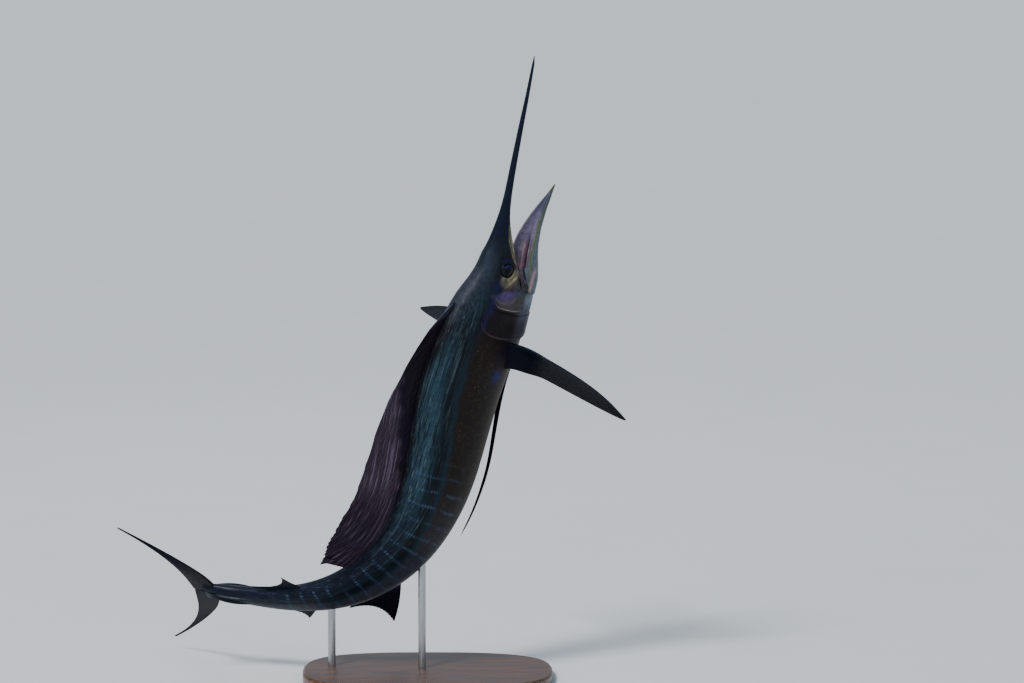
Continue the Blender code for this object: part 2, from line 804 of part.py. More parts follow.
def make_rod(name, s):
    """A plain rod from the base up into the belly, its top cut to the belly's shape."""
    foot = place(s, 0.5 * belly_height(s), 0.0)
    rings = []
    for z in (BASE_THICK + GAP, foot.z):
        ring = []
        for j in range(16):
            a = 2.0 * math.pi * j / 16
            ring.append(Vector((foot.x + ROD_RADIUS * math.cos(a), foot.y + ROD_RADIUS * math.sin(a), z)))
        rings.append(ring)
    rod = loft(name, rings, principled(name + "_steel", (0.55, 0.56, 0.58), 0.25, 1.0))
    return combine(rod, grown_near(s - 0.05, s + 0.05), "DIFFERENCE")


def clear_scene():
    for obj in list(bpy.data.objects):
        bpy.data.objects.remove(obj, do_unlink=True)


def main():
    clear_scene()
    make_bill()
    make_head()
    make_eyes()
    make_lower_jaw()
    make_gill_cover("gill_cover_right", 1)
    make_gill_cover("gill_cover_left", -1)
    make_body()
    make_sail()
    for values in MIDLINE_FINS:
        midline_fin(*values)
    for values in PECTORAL_SPANS:
        make_pectoral(*values)
    make_pelvic("pelvic_fin_right", 1)
    make_pelvic("pelvic_fin_left", -1)
    make_tail_lobe("tail_fin_upper", 1)
    make_tail_lobe("tail_fin_lower", -1)
    make_base()
    for name, s in ROD_STATIONS:
        make_rod(name, s)


main()
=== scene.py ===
"""The looks of a leaping sailfish on its display stand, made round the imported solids.

The fish is drawn straight first. A place on it is (s, d, r): s runs back from the tip of
the closed lower jaw, d up towards its back, r towards its right side. The spine then bends
the straight fish into its pose. Sizes are metres and +Z is up.
"""
import math

import bmesh
import bpy
import numpy as np
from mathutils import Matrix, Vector

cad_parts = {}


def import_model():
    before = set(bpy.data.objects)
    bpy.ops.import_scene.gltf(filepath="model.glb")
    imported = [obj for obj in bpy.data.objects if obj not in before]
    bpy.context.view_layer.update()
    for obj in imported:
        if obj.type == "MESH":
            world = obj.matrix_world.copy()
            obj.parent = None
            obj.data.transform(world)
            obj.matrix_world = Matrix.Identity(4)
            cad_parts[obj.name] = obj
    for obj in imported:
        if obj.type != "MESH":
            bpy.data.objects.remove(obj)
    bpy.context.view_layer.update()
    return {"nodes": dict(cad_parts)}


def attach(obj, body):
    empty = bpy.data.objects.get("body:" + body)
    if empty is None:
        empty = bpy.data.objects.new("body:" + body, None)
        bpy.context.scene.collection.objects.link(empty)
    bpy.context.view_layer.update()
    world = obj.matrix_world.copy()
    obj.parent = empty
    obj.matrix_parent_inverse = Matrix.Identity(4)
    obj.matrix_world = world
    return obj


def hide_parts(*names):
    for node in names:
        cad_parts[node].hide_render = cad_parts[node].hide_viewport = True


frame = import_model()

# Sizes of the straight fish
FORK_LENGTH = 1.85
BILL_TIP, BILL_ROOT = -0.373, 0.085
GILL_END = 0.5
STEM_END = 1.8
MOUTH_CORNER = 0.326
JAW_TIP, JAW_END = 0.035, 0.338
TONGUE_RISE, TONGUE_WIDTH = 0.01, 0.012
THROAT, THROAT_RADII = (0.328, -0.068, 0), (0.078, 0.018, 0.033)

# Eye
EYE = np.array([0.274, 0.036, 0.0405])
EYE_RADIUS, EYE_DEPTH = 0.0225, 0.014
SOCKET_GAP = 0.0006

# Gill covers
GILL_FRONT, GILL_REAR = 0.382, 0.485
GILL_TOP, GILL_LOW = math.radians(60), math.radians(158)
GILL_FLARE, GILL_THROAT, GILL_SHOULDER, GILL_TUCK = 0.016, 0.06, 0.044, 0.9

# Keels of the tail stem
KEEL_FROM, KEEL_TO = 1.66, 1.79
KEEL_ROOT, KEEL_RISE, KEEL_THICK = 0.005, 0.0085, 0.0026
KEEL_LEVEL = 0.012

# How far each small form of the skin stands out or sinks in, and turns in degrees from the back
LIP_RISE, LIP_GROOVE, LIP_TURN = 0.0022, 0.0012, 108
LID_RISE, LID_GROOVE, LID_RADIUS = 0.0022, 0.0007, 0.0243
BROW_RISE = 0.0022
NOSTRILS = ((0.237, 0.052), (0.228, 0.055))
NOSTRIL_DEPTH, NOSTRIL_RIM = 0.003, 0.0007
CHEEK_EDGE, CHEEK_GROOVE, CHEEK_RIDGE = 0.0022, 0.0012, 0.0011
GILL_SLOT = 0.003
LATERAL_LINE, LATERAL_TURN, LATERAL_DROP = 0.0007, 62, 24
BELLY_GROOVE = 0.003
PECTORAL_MUSCLE = 0.004
BILL_RIDGE = 0.0008

# Points along and round each mesh of the flesh
BILL_RINGS, HEAD_RINGS, TRUNK_RINGS, BODY_TURNS = 110, 300, 230, 240
JAW_RINGS, JAW_TURNS, LIP_TURNS = 150, 70, 8
GILL_GRID, FOLD_GRID, KEEL_GRID = (76, 110), (26, 22), (50, 9)
SOCKET_GRID, EYE_GRID = (30, 60), (48, 72)
SHARP_EDGE = math.radians(60)

# Fleshy ridges that carry the midline fins: side (1 on the back), rise, start, end and width
FIN_RIDGES = (
    (1, 0.0034, 0.43, 1.34, 0.075),
    (1, 0.0026, 1.47, 1.59, 0.14),
    (-1, 0.0026, 1.22, 1.4, 0.11),
    (-1, 0.0026, 1.46, 1.58, 0.14),
)

# Pose of the spine
EYE_POINT = np.array([0.235, -0.05, 1.195])
TRUNK_LEAN = math.radians(22.5)
TRUNK_FORWARD = math.radians(3)
BACK_TURN = math.radians(38)
NECK_LIFT = math.radians(15.5)
NECK_FROM, NECK_TO = 0.18, 0.42
SWAY = math.radians(15)
SWAY_FROM, SWAY_TO = 0.42, 0.84
TAIL_BEND = math.radians(84)
TAIL_SIDE = math.radians(62)
TAIL_FROM, TAIL_TO = 0.8, 1.7
SPINE_STEP, SPINE_SPARE = 0.004, (0.1, 0.3)

# Height of the back and belly above the axis and half the width, along the trunk
TRUNK = (
    (0.36, 0.1268, -0.122, 0.062),
    (0.4, 0.1395, -0.128, 0.065),
    (0.485, 0.153, -0.136, 0.0695),
    (0.56, 0.16, -0.139, 0.071),
    (0.65, 0.1595, -0.137, 0.07),
    (0.8, 0.149, -0.13, 0.066),
    (0.95, 0.134, -0.118, 0.06),
    (1.1, 0.115, -0.103, 0.053),
    (1.25, 0.093, -0.086, 0.045),
    (1.4, 0.07, -0.067, 0.036),
    (1.55, 0.049, -0.049, 0.028),
    (1.65, 0.037, -0.037, 0.024),
    (1.72, 0.032, -0.032, 0.02),
    (1.83, 0.038, -0.038, 0.009),
)

# The same for the bill and skull, with the level of the greatest width and the palate's hollow
SKULL = (
    (-0.373, 0.054, 0.0524, 0.001, 0.0532, 0),
    (-0.345, 0.055, 0.0475, 0.003, 0.0512, 0),
    (-0.25, 0.056, 0.0455, 0.0055, 0.0508, 0),
    (-0.15, 0.059, 0.045, 0.0075, 0.052, 0),
    (-0.03, 0.061, 0.0435, 0.0095, 0.052, 0),
    (0.04, 0.062, 0.0415, 0.011, 0.05, 0.0005),
    (0.085, 0.065, 0.039, 0.013, 0.047, 0.0015),
    (0.13, 0.071, 0.034, 0.018, 0.043, 0.0035),
    (0.17, 0.079, 0.025, 0.025, 0.035, 0.006),
    (0.21, 0.089, 0.013, 0.034, 0.025, 0.008),
    (0.24, 0.0985, 0.003, 0.042, 0.018, 0.009),
    (0.274, 0.1035, -0.013, 0.049, 0.008, 0.009),
    (0.3, 0.109, -0.03, 0.0525, 0.004, 0.007),
    (0.318, 0.114, -0.056, 0.055, 0.002, 0.003),
    (0.332, 0.1175, -0.096, 0.0575, 0.002, 0),
    (0.346, 0.1225, -0.118, 0.0595, 0.004, 0),
    (0.4, 0.1395, -0.128, 0.065, 0.006, 0),
    (0.485, 0.153, -0.136, 0.0695, 0.01, 0),
)

# Where the skull's sizes give way to the trunk's, and the powers that round each section
SKULL_END, SKULL_LEVEL, LEVEL_BLEND = 0.4, 0.006, 0.25
SIDE_POWER, RISE_POWER = 0.9, 0.95

# Rim and keel of the open lower jaw, half its width, and the depth of the hollow inside it
JAW = (
    (0.035, -0.114, -0.1165, 0.0012, 0),
    (0.055, -0.104, -0.112, 0.0048, 0.001),
    (0.08, -0.0905, -0.106, 0.0098, 0.005),
    (0.11, -0.075, -0.0985, 0.0165, 0.013),
    (0.14, -0.062, -0.093, 0.0235, 0.02),
    (0.17, -0.053, -0.087, 0.031, 0.026),
    (0.2, -0.0445, -0.087, 0.037, 0.034),
    (0.24, -0.039, -0.094, 0.042, 0.043),
    (0.28, -0.046, -0.1065, 0.0475, 0.043),
    (0.31, -0.053, -0.115, 0.052, 0.04),
    (0.338, -0.06, -0.115, 0.056, 0.03),
)

# Height of the folded sail's edge above the back, by the place of each ray's tip
SAIL_EDGE = (
    (0.41, 0.006), (0.45, 0.024), (0.5, 0.042), (0.54, 0.054), (0.6, 0.073),
    (0.66, 0.088), (0.72, 0.107), (0.78, 0.128), (0.84, 0.145), (0.92, 0.157),
    (1, 0.163), (1.15, 0.165), (1.28, 0.14), (1.38, 0.07),
)
SAIL_FROM, SAIL_TO, SAIL_END = 0.412, 1.31, 1.38
SAIL_RAYS = 36

# Fins on the midline: side (1 on the back), start, end, height, rake, trail and rays
MIDLINE_FINS = (
    ("second_dorsal_fin", 1, 1.48, 1.565, 0.062, 0.05, 0.09, 7),
    ("first_anal_fin", -1, 1.23, 1.37, 0.15, 0.105, 0.03, 13),
    ("second_anal_fin", -1, 1.47, 1.555, 0.06, 0.05, 0.085, 7),
)
FIN_ROOT_DEPTH = 0.008
RAY_COLUMNS = 9

# Paired fins: root, and the way to each tip as length, height and width, with its twist
PECTORAL_S = 0.52
PECTORAL_ROOT = np.array([0.49, -0.056, 0.058])
PECTORAL_SPANS = (
    ("pectoral_fin_right", 1, np.array([0.048, -0.203, 0.355]), math.radians(48)),
    ("pectoral_fin_left", -1, np.array([0.055, -0.116, 0.385]), math.radians(-38)),
)
PECTORAL_LAY = np.array([1, -0.3, 0])
PECTORAL_TWIST_TO = np.array([0.13, -0.61, -0.78])
PECTORAL_SWELL, PECTORAL_SWELL_BY = 0.5, 0.35
PECTORAL_BOW, PECTORAL_SICKLE = 0.019, 0.0125
PECTORAL_TIP, PECTORAL_TIP_WIDTH = 0.0146, 0.002
PECTORAL_WIDTH, PECTORAL_ROOT_FLARE = 0.025, 0.036
PECTORAL_RAYS, PECTORAL_INSET = 18, 0.07
PELVIC_START, PELVIC_LENGTH, PELVIC_WIDTH = 0.545, 0.5, 0.016
PELVIC_RAYS = 3
TAIL_ROOT_S, TAIL_ROOT_D = 1.76, 0.024
TAIL_TIP_S, TAIL_TIP_D = 1.985, 0.32
TAIL_NOTCH_S = FORK_LENGTH - 0.01
TAIL_RAYS = 20

# Floor and light, each lamp with its place, aim, size, power and colour
FLOOR_RADIUS, FLOOR_CORNERS, FLOOR_LEVEL = 80, 96, -0.0005
SKY_COLOUR, SKY_STRENGTH = (0.68, 0.83, 1, 1), 0.42
SUN_FROM, SUN_SPREAD = Vector((-0.55, -0.62, 1)), math.radians(14)
SUN_POWER, SUN_COLOUR = 3.1, (1, 0.97, 0.93)
LAMPS = (
    ("key", (-2.6, -3.4, 3.2), (0.1, 0, 0.9), 1.4, 60, (1, 0.97, 0.92)),
    ("rim", (-1.2, 3.8, 3.4), (0.1, 0, 0.9), 2.2, 22, (0.95, 0.98, 1)),
    ("fill", (2.4, -4.6, 2.6), (0.1, 0, 1.1), 2, 22, (0.92, 0.96, 1)),
)

# Camera
CAMERA_RISE = math.radians(9)
CAMERA_RANGE, CAMERA_REACH = 20, 300
PIXEL = 0.00285
IMAGE_WIDTH = 1024
SENSOR = 36
EYE_RIGHT_OF_CENTRE, EYE_ABOVE_CENTRE = -2.9, 69.6


# Curves

def ease(x):
    """A smooth step from 0 to 1 as x goes from 0 to 1."""
    x = np.clip(x, 0, 1)
    return x * x * (3 - 2 * x)


def after(x, start, width):
    """Eases from 0 at the start to 1 a width behind it."""
    return ease((x - start) / width)


def before(x, end, width):
    """Eases from 1 a width in front of the end to 0 at the end."""
    return ease((end - x) / width)


def between(x, start, rise, end, fall):
    return after(x, start, rise) * before(x, end, fall)


def bell(x):
    return np.exp(-x * x)


def near(x, middle, width):
    return bell((x - middle) / width)


def arch(x):
    """0 at 0 and at 1, and 1 halfway."""
    return np.sin(math.pi * x)


def spot(x, middle_x, width_x, y, middle_y, width_y):
    """A soft spot, 1 in its middle."""
    return bell(np.hypot((x - middle_x) / width_x, (y - middle_y) / width_y))


def eye_distance(s, d):
    return np.hypot(s - EYE[0], d - EYE[1])


def stacked(*parts):
    """Grids of the same or a matching shape as one grid of points."""
    return np.stack(np.broadcast_arrays(*parts), axis=-1)


def unit_grid(columns, rows):
    return np.linspace(0, 1, columns)[:, None], np.linspace(0, 1, rows)[None]


def curve(table, x):
    """Values of a smooth curve through the table's rows, without overshoot."""
    rows = np.array(table)
    places = rows[:, 0]
    x = np.clip(x, places[0], places[-1])
    i = np.clip(np.searchsorted(places, x) - 1, 0, len(places) - 2)
    width = places[i + 1] - places[i]
    u = (x - places[i]) / width
    values = []
    for column in rows[:, 1:].T:
        steps = np.diff(column) / np.diff(places)
        total = np.where(steps[:-1] + steps[1:] == 0, 1, steps[:-1] + steps[1:])
        product = steps[:-1] * steps[1:]
        inner = np.where(product > 0, 2 * product / total, 0)
        slopes = np.concatenate((steps[:1], inner, steps[-1:]))
        rise = column[i] * (1 + 2 * u) * (1 - u) ** 2 + column[i + 1] * u * u * (3 - 2 * u)
        rise += slopes[i] * width * u * (1 - u) ** 2 + slopes[i + 1] * width * u * u * (u - 1)
        values.append(rise)
    return values


# The spine

def unit(vector):
    return vector / np.linalg.norm(vector, axis=-1, keepdims=True)


def turned(vectors, axis, angles):
    """Vectors turned about one axis, each by its own angle."""
    c = np.cos(angles)[:, None]
    s = np.sin(angles)[:, None]
    along = (vectors @ axis)[:, None] * axis
    return vectors * c + np.cross(axis, vectors) * s + along * (1 - c)


def spine_axes(s):
    """Directions headward, to the back and to the right at each s."""
    head = unit(np.array([math.sin(TRUNK_LEAN), -math.sin(TRUNK_FORWARD), math.cos(TRUNK_LEAN)]))
    back = np.array([-math.cos(BACK_TURN), -math.sin(BACK_TURN), 0])
    back = unit(back - head * head.dot(back))
    right = np.cross(head, back)
    swayed = turned(head[None], back, np.array([SWAY]))[0]
    side = np.cross(swayed, back)
    bend_to = back * math.cos(TAIL_SIDE) - side * math.sin(TAIL_SIDE)
    bend_axis = np.cross(swayed, bend_to)
    turns = (
        (right, NECK_LIFT * before(s, NECK_TO, NECK_TO - NECK_FROM)),
        (back, SWAY * after(s, SWAY_FROM, SWAY_TO - SWAY_FROM)),
        (bend_axis, -TAIL_BEND * after(s, TAIL_FROM, TAIL_TO - TAIL_FROM)),
    )
    heads = np.repeat(head[None], len(s), 0)
    backs = np.repeat(back[None], len(s), 0)
    for axis, angles in turns:
        heads = turned(heads, axis, angles)
        backs = turned(backs, axis, angles)
    return heads, backs, np.cross(heads, backs)


SPINE_START = BILL_TIP - SPINE_SPARE[0]
SPINE_COUNT = int(round((FORK_LENGTH + SPINE_SPARE[1] - SPINE_START) / SPINE_STEP))
SPINE_PLACES = SPINE_START + SPINE_STEP * np.arange(SPINE_COUNT + 1)
SPINE_HEADS = spine_axes(SPINE_PLACES[:-1] + 0.5 * SPINE_STEP)[0]
SPINE = np.concatenate((np.zeros((1, 3)), -np.cumsum(SPINE_HEADS * SPINE_STEP, axis=0)))


def bent(fish):
    """The bent places of straight ones, as rows of s, d and r."""
    s = fish[:, 0]
    _, back, right = spine_axes(s)
    axis = np.stack([np.interp(s, SPINE_PLACES, SPINE[:, k]) for k in range(3)], axis=1)
    return axis + back * fish[:, 1:2] + right * fish[:, 2:3]


OFFSET = EYE_POINT - bent(np.array([EYE + [0, 0, EYE_DEPTH]]))[0]


def place(fish):
    """The final places of straight ones."""
    return bent(fish) + OFFSET


def place_grid(s, d, r):
    grid = stacked(s, d, r)
    return place(grid.reshape(-1, 3)).reshape(grid.shape)


# Sections of the straight fish

def body_sizes(s):
    """Top, bottom, half the width, level of the greatest width and hollow of the palate."""
    skull = curve(SKULL, s)
    trunk = curve(TRUNK, s)
    front = s <= SKULL_END
    top, bottom, half = [np.where(front, skull[k], trunk[k]) for k in range(3)]
    blend = after(s, SKULL_END, LEVEL_BLEND)
    level = np.where(front, skull[3], SKULL_LEVEL * (1 - blend) + 0.5 * (top + bottom) * blend)
    return top, bottom, half, level, np.where(front, skull[4], 0)


def signed_power(x, power):
    return np.sign(x) * np.abs(x) ** power


def section(s, turn, out=0):
    """Places at the angle turn from the back, out beyond the plain body."""
    top, bottom, half, level, _ = body_sizes(s)
    r = (half + out) * signed_power(np.sin(turn), SIDE_POWER)
    reach = np.where(np.cos(turn) >= 0, top - level, level - bottom) + out
    return stacked(s, level + reach * signed_power(np.cos(turn), RISE_POWER), r)


def turn_of(fish):
    """The angle from the back and the share of the way out, for any place on or in the fish."""
    top, bottom, half, level, _ = body_sizes(fish[:, 0])
    up = fish[:, 1] - level
    x = np.abs(fish[:, 2]) / half
    y = np.abs(up) / np.where(up >= 0, top - level, level - bottom)
    turn = np.arctan2(x ** (1 / SIDE_POWER), np.sign(up) * y ** (1 / RISE_POWER))
    return turn, np.hypot(x, y)


def arc_place(d):
    """Where the edge of the cheek plate lies, by height."""
    hook = 18 * np.maximum(d - 0.03, 0) ** 2 + 3.5 * np.maximum(-d - 0.02, 0) ** 2
    return 0.391 - 0.9 * (d + 0.008) ** 2 - hook


def gill_rear(v):
    """Where the free edge of the gill cover lies, from its top at v = 0 to its foot at 1."""
    return GILL_REAR - GILL_THROAT * v * v - GILL_SHOULDER * (1 - v) ** 8


def relief(fish, turn):
    """How far the skin stands out from the plain body, with lips, lids, ridges and grooves."""
    s, d, r = fish.T
    angle = np.degrees(np.arccos(np.cos(turn)))
    side = after(np.abs(r), 0.012, 0.01)
    lips = between(s, 0.1, 0.06, MOUTH_CORNER + 0.012, 0.03)
    out = LIP_RISE * lips * near(angle, LIP_TURN, 9)
    out -= LIP_GROOVE * lips * near(angle, LIP_TURN - 17, 5)
    from_eye = eye_distance(s, d)
    out += LID_RISE * side * near(from_eye, LID_RADIUS, 0.0019)
    out -= LID_GROOVE * side * near(from_eye, 0.03, 0.0028)
    brow = EYE[1] + 0.034 + 0.12 * (s - EYE[0])
    out += BROW_RISE * side * near(d, brow, 0.0085) * between(s, 0.21, 0.04, 0.36, 0.05)
    for nostril_s, nostril_d in NOSTRILS:
        pit = np.hypot((s - nostril_s) / 1.35, d - nostril_d)
        out -= NOSTRIL_DEPTH * side * bell(pit / 0.002)
        out += NOSTRIL_RIM * side * near(pit, 0.0036, 0.0012)
    behind = s - arc_place(d)
    cheek = between(d, -0.078, 0.02, 0.062, 0.03) * side
    edge = np.where(behind < 0, np.exp(behind / 0.012), np.exp(-behind / 0.0016))
    out += CHEEK_EDGE * cheek * edge
    out -= CHEEK_GROOVE * cheek * near(s, 0.352, 0.014)
    out += CHEEK_RIDGE * cheek * near(s, 0.336 + 0.15 * d, 0.005)
    out -= GILL_SLOT * between(s, 0.425, 0.02, 0.478, 0.02) * side * near(angle, 118, 32)
    line = LATERAL_TURN + LATERAL_DROP * after(s, 0.52, 0.16)
    out -= LATERAL_LINE * near(angle, line, 1.3) * between(s, 0.49, 0.02, 1.78, 0.05)
    for back, rise, start, end, width in FIN_RIDGES:
        aside = np.radians(angle) if back > 0 else math.pi - np.radians(angle)
        out += rise * between(s, start, 0.03, end, 0.03) * bell(aside / width)
    out -= BELLY_GROOVE * between(s, 0.56, 0.04, 1.06, 0.1) * near(angle, 180, 9)
    out += PECTORAL_MUSCLE * spot(s, 0.528, 0.055, d, -0.078, 0.026) * side
    return out + BILL_RIDGE * between(s, -0.36, 0.05, 0.1, 0.05) * near(angle, 95, 10)


# Meshes of the straight fish

def new_object(name, data):
    obj = bpy.data.objects.new(name, data)
    bpy.context.scene.collection.objects.link(obj)
    return obj


def grid_faces(columns, rows, wrap):
    """Quads of a grid of points; wrap joins the last row to the first."""
    marks = np.arange(columns * rows).reshape(columns, rows)
    following = np.roll(marks, -1, axis=1)
    quads = np.stack([marks[:-1], marks[1:], following[1:], following[:-1]], axis=-1)
    return (quads if wrap else quads[:, :-1]).reshape(-1, 4)


def solid(name, verts, faces, ends=()):
    """A closed mesh object from points, quads and flat ends, its faces turned to point out."""
    mesh = bpy.data.meshes.new(name)
    mesh.from_pydata(verts.tolist(), [], faces.tolist() + [list(end) for end in ends])
    bm = bmesh.new()
    bm.from_mesh(mesh)
    bmesh.ops.recalc_face_normals(bm, faces=bm.faces)
    if bm.calc_volume(signed=True) < 0:
        bmesh.ops.reverse_faces(bm, faces=bm.faces)
    bm.to_mesh(mesh)
    bm.free()
    return new_object(name, mesh)


def tube(name, grid):
    """A closed solid through rings of points, given as columns of rows."""
    columns, rows = grid.shape[:2]
    last = (columns - 1) * rows
    ends = (np.arange(rows).tolist(), np.arange(last, last + rows).tolist())
    return solid(name, grid.reshape(-1, 3), grid_faces(columns, rows, True), ends)


def shell(name, upper, lower):
    """A closed thin solid between two grids of points."""
    columns, rows = upper.shape[:2]
    verts = np.concatenate((upper.reshape(-1, 3), lower.reshape(-1, 3)))
    under = columns * rows
    quads = grid_faces(columns, rows, False)
    marks = np.arange(under).reshape(columns, rows)
    rim = np.concatenate((marks[:, 0], marks[-1, 1:], marks[-2::-1, -1], marks[0, -2:0:-1]))
    following = np.roll(rim, -1)
    sides = np.stack([rim, following, following + under, rim + under], axis=-1)
    return solid(name, verts, np.concatenate((quads, quads[:, ::-1] + under, sides)))


def ellipsoid(name, centre, radii, rings=24, columns=40):
    a = np.linspace(0.02, math.pi - 0.02, rings)[:, None]
    b = np.linspace(0, 2 * math.pi, columns, endpoint=False)[None]
    grid = stacked(np.sin(a) * np.cos(b), np.sin(a) * np.sin(b), np.cos(a))
    return tube(name, grid * np.array(radii) + np.array(centre))


def boolean(target, tools, operation):
    """One Boolean of the target with each closed tool, which is then removed."""
    for tool in tools:
        modifier = target.modifiers.new("cut", "BOOLEAN")
        modifier.operation = operation
        modifier.solver = "MANIFOLD"
        modifier.object = tool
        bpy.context.view_layer.update()
        evaluated = target.evaluated_get(bpy.context.evaluated_depsgraph_get())
        mesh = bpy.data.meshes.new_from_object(evaluated)
        target.modifiers.clear()
        target.data = mesh
        bpy.data.objects.remove(tool, do_unlink=True)


def body_mesh():
    """The bill, skull and trunk as one closed surface with its relief."""
    bill = np.linspace(BILL_TIP, BILL_ROOT, BILL_RINGS, endpoint=False)
    head = np.linspace(BILL_ROOT, GILL_END, HEAD_RINGS, endpoint=False)
    trunk = np.linspace(GILL_END, STEM_END, TRUNK_RINGS)
    s = np.concatenate((bill, head, trunk))[:, None]
    turn = np.linspace(0, 2 * math.pi, BODY_TURNS, endpoint=False)[None]
    body = section(s, turn)
    _, _, half, _, hollow = body_sizes(s)
    inner = np.clip(1 - (body[..., 2] / (0.8 * half)) ** 2, 0, 1)
    body[..., 1] += np.where(np.cos(turn) < 0, hollow * inner, 0)
    out = relief(body.reshape(-1, 3), np.repeat(turn, len(s), 0).ravel()).reshape(body.shape[:2])
    along = np.gradient(body, axis=0)
    around = np.roll(body, -1, axis=1) - np.roll(body, 1, axis=1)
    normal = unit(np.cross(around, along) + 1e-12)
    outward = stacked(0 * s, np.cos(turn), np.sin(turn))
    normal *= np.sign((normal * outward).sum(-1, keepdims=True) + 1e-9)
    return tube("skin", body + normal * out[..., None])


def jaw_mesh():
    """The open lower jaw, with rounded lips, a hollow floor and the tongue."""
    s = np.linspace(JAW_TIP, JAW_END, JAW_RINGS)[:, None]
    rim, keel, half, hollow = curve(JAW, s)
    lip = np.minimum(0.004, 0.45 * half)
    a = np.linspace(0, math.pi, JAW_TURNS)[None]
    swell = 0.0014 * bell(8 * np.sin(a)) * np.minimum(half / 0.03, 1)
    fold = 0.0009 * near(np.sin(a), 0.45, 0.06) * after(s, 0.1, 0.05)
    outer_r = (half + swell - fold) * np.cos(a)
    outer_d = rim - (rim - keel) * np.sin(a)
    b = np.linspace(0, math.pi, LIP_TURNS)[None, 1:-1]
    first_r = -(half - lip / 2) - lip / 2 * np.cos(b)
    first_d = rim + 0.0016 * np.sin(b) * np.minimum(half / 0.02, 1)
    back = math.pi - a
    inner_r = (half - lip) * np.cos(back)
    tongue = TONGUE_RISE * after(s, 0.16, 0.05) * bell(inner_r / TONGUE_WIDTH)
    tongue -= 0.0022 * after(s, 0.17, 0.04) * near(np.abs(inner_r), 0.017, 0.003)
    tongue -= 0.0012 * after(s, 0.165, 0.05) * bell(inner_r / 0.0022)
    inner_d = rim + 0.0004 - hollow * np.sin(back) + tongue
    r = np.concatenate((outer_r, first_r, inner_r, -first_r[:, ::-1]), axis=1)
    d = np.concatenate((outer_d, first_d, inner_d, first_d[:, ::-1]), axis=1)
    return tube("jaw", stacked(s, d, r))


def gill_mesh(side):
    """A gill cover: flush in front, its rear edge a free flap."""
    u, v = unit_grid(*GILL_GRID)
    front = GILL_FRONT + 0.006 + 0.007 * arch(v)
    s = front + (gill_rear(v) - front) * u
    turn = GILL_TOP + (GILL_LOW - GILL_TOP) * v + 0 * u
    flare = GILL_FLARE * after(u, 0.25, 0.75) * ease(v / 0.5) * (1 - GILL_TUCK * after(v, 0.6, 0.4))
    dome = arch(np.minimum(u + 0.12, 1)) * arch(0.1 + 0.8 * v)
    plate = 0.0012 + 0.0034 * dome
    plate -= 0.004 * (1 - ease(u / 0.14)) + 0.005 * (1 - ease(v / 0.1)) * (1 - after(u, 0.6, 0.3))
    plate += 0.0005 * np.sin(26 * v + 3 * u) * between(u, 0, 0.3, 1, 0.2)
    edge = 0.0007 * near(u, 1, 0.03)
    outer = section(s, turn, flare + np.maximum(plate, -0.003) + edge)
    inner = section(s, turn, flare - 0.001 - 0.0032 * (1 - after(u, 0.4, 0.5)))
    for grid in (outer, inner):
        grid[..., 2] *= side
    return shell("gill", outer, inner)


def cheek_fold(side):
    """The fold of skin between the jaws at the corner of the mouth."""
    u, v = unit_grid(*FOLD_GRID)
    upper_front, upper_back = np.array([0.258, 0, 0.044]), np.array([0.33, -0.034, 0.0535])
    lower_front, lower_back = np.array([0.264, -0.0425, 0.0415]), np.array([0.334, -0.066, 0.053])
    front = upper_front + (lower_front - upper_front) * u[..., None]
    back = upper_back + (lower_back - upper_back) * u[..., None]
    grid = front + (back - front) * v[..., None]
    bulge = arch(u)
    grid[..., 0] += 0.01 * bulge * (1 - v)
    grid[..., 2] -= 0.0035 * bulge * arch(np.minimum(v + 0.2, 1))
    grid[..., 2] -= 0.003 * near(u, 0.45 + 0.25 * v, 0.07) * arch(np.minimum(v + 0.3, 1))
    grid[..., 2] += 0.0005 * np.sin(26 * u + 4 * v) * bulge
    thick = np.array([0, 0, 0.0009])
    flip = np.array([1, 1, side])
    return shell("fold", (grid + thick) * flip, (grid - thick) * flip)


def keel_mesh(side, level):
    """A low ridge along the side of the tail stem."""
    u = np.linspace(0, 1, KEEL_GRID[0])[:, None]
    s = KEEL_FROM + (KEEL_TO - KEEL_FROM) * u
    root = body_sizes(s)[2] * 0.92 - 0.004
    rise = KEEL_ROOT + KEEL_RISE * arch(u) ** 0.8
    a = np.linspace(-math.pi / 2, math.pi / 2, KEEL_GRID[1])[None]
    d = level * (1 - 0.25 * u) + KEEL_THICK * np.sin(a)
    return tube("keel", stacked(s, d, side * (root + rise * np.cos(a))))


def skin_mesh():
    """All the flesh as one skin, cut out for the throat and the eyes."""
    skin = body_mesh()
    parts = [jaw_mesh()]
    for side in (1, -1):
        parts += [gill_mesh(side), cheek_fold(side)]
        parts += [keel_mesh(side, KEEL_LEVEL), keel_mesh(side, -KEEL_LEVEL)]
    boolean(skin, parts, "UNION")
    socket = np.array([EYE_RADIUS, EYE_RADIUS, EYE_DEPTH]) + SOCKET_GAP
    cuts = [ellipsoid("throat", THROAT, THROAT_RADII)]
    cuts += [ellipsoid("socket", EYE * (1, 1, side), socket, *SOCKET_GRID) for side in (1, -1)]
    boolean(skin, cuts, "DIFFERENCE")
    return skin


# Colours

def rgb(red, green, blue):
    """A linear colour from screen values of 0 to 255."""
    values = np.array([red, green, blue]) / 255
    return np.where(values <= 0.04045, values / 12.92, ((values + 0.055) / 1.055) ** 2.4)


def over(base, colour, share):
    return base + (colour - base) * np.clip(share, 0, 1)[..., None]


def painted(base, *coats):
    """The base colours under coats: red, green, blue and the share that each covers."""
    for *colour, share in coats:
        base = over(base, rgb(*colour), share)
    return base


def ripple(fish, *waves):
    """A slow uneven field from -1 to 1."""
    total = 0
    for ks, kd, kr, phase in waves:
        total = total + np.sin(ks * fish[:, 0] + kd * fish[:, 1] + kr * fish[:, 2] + phase)
    return total / len(waves)


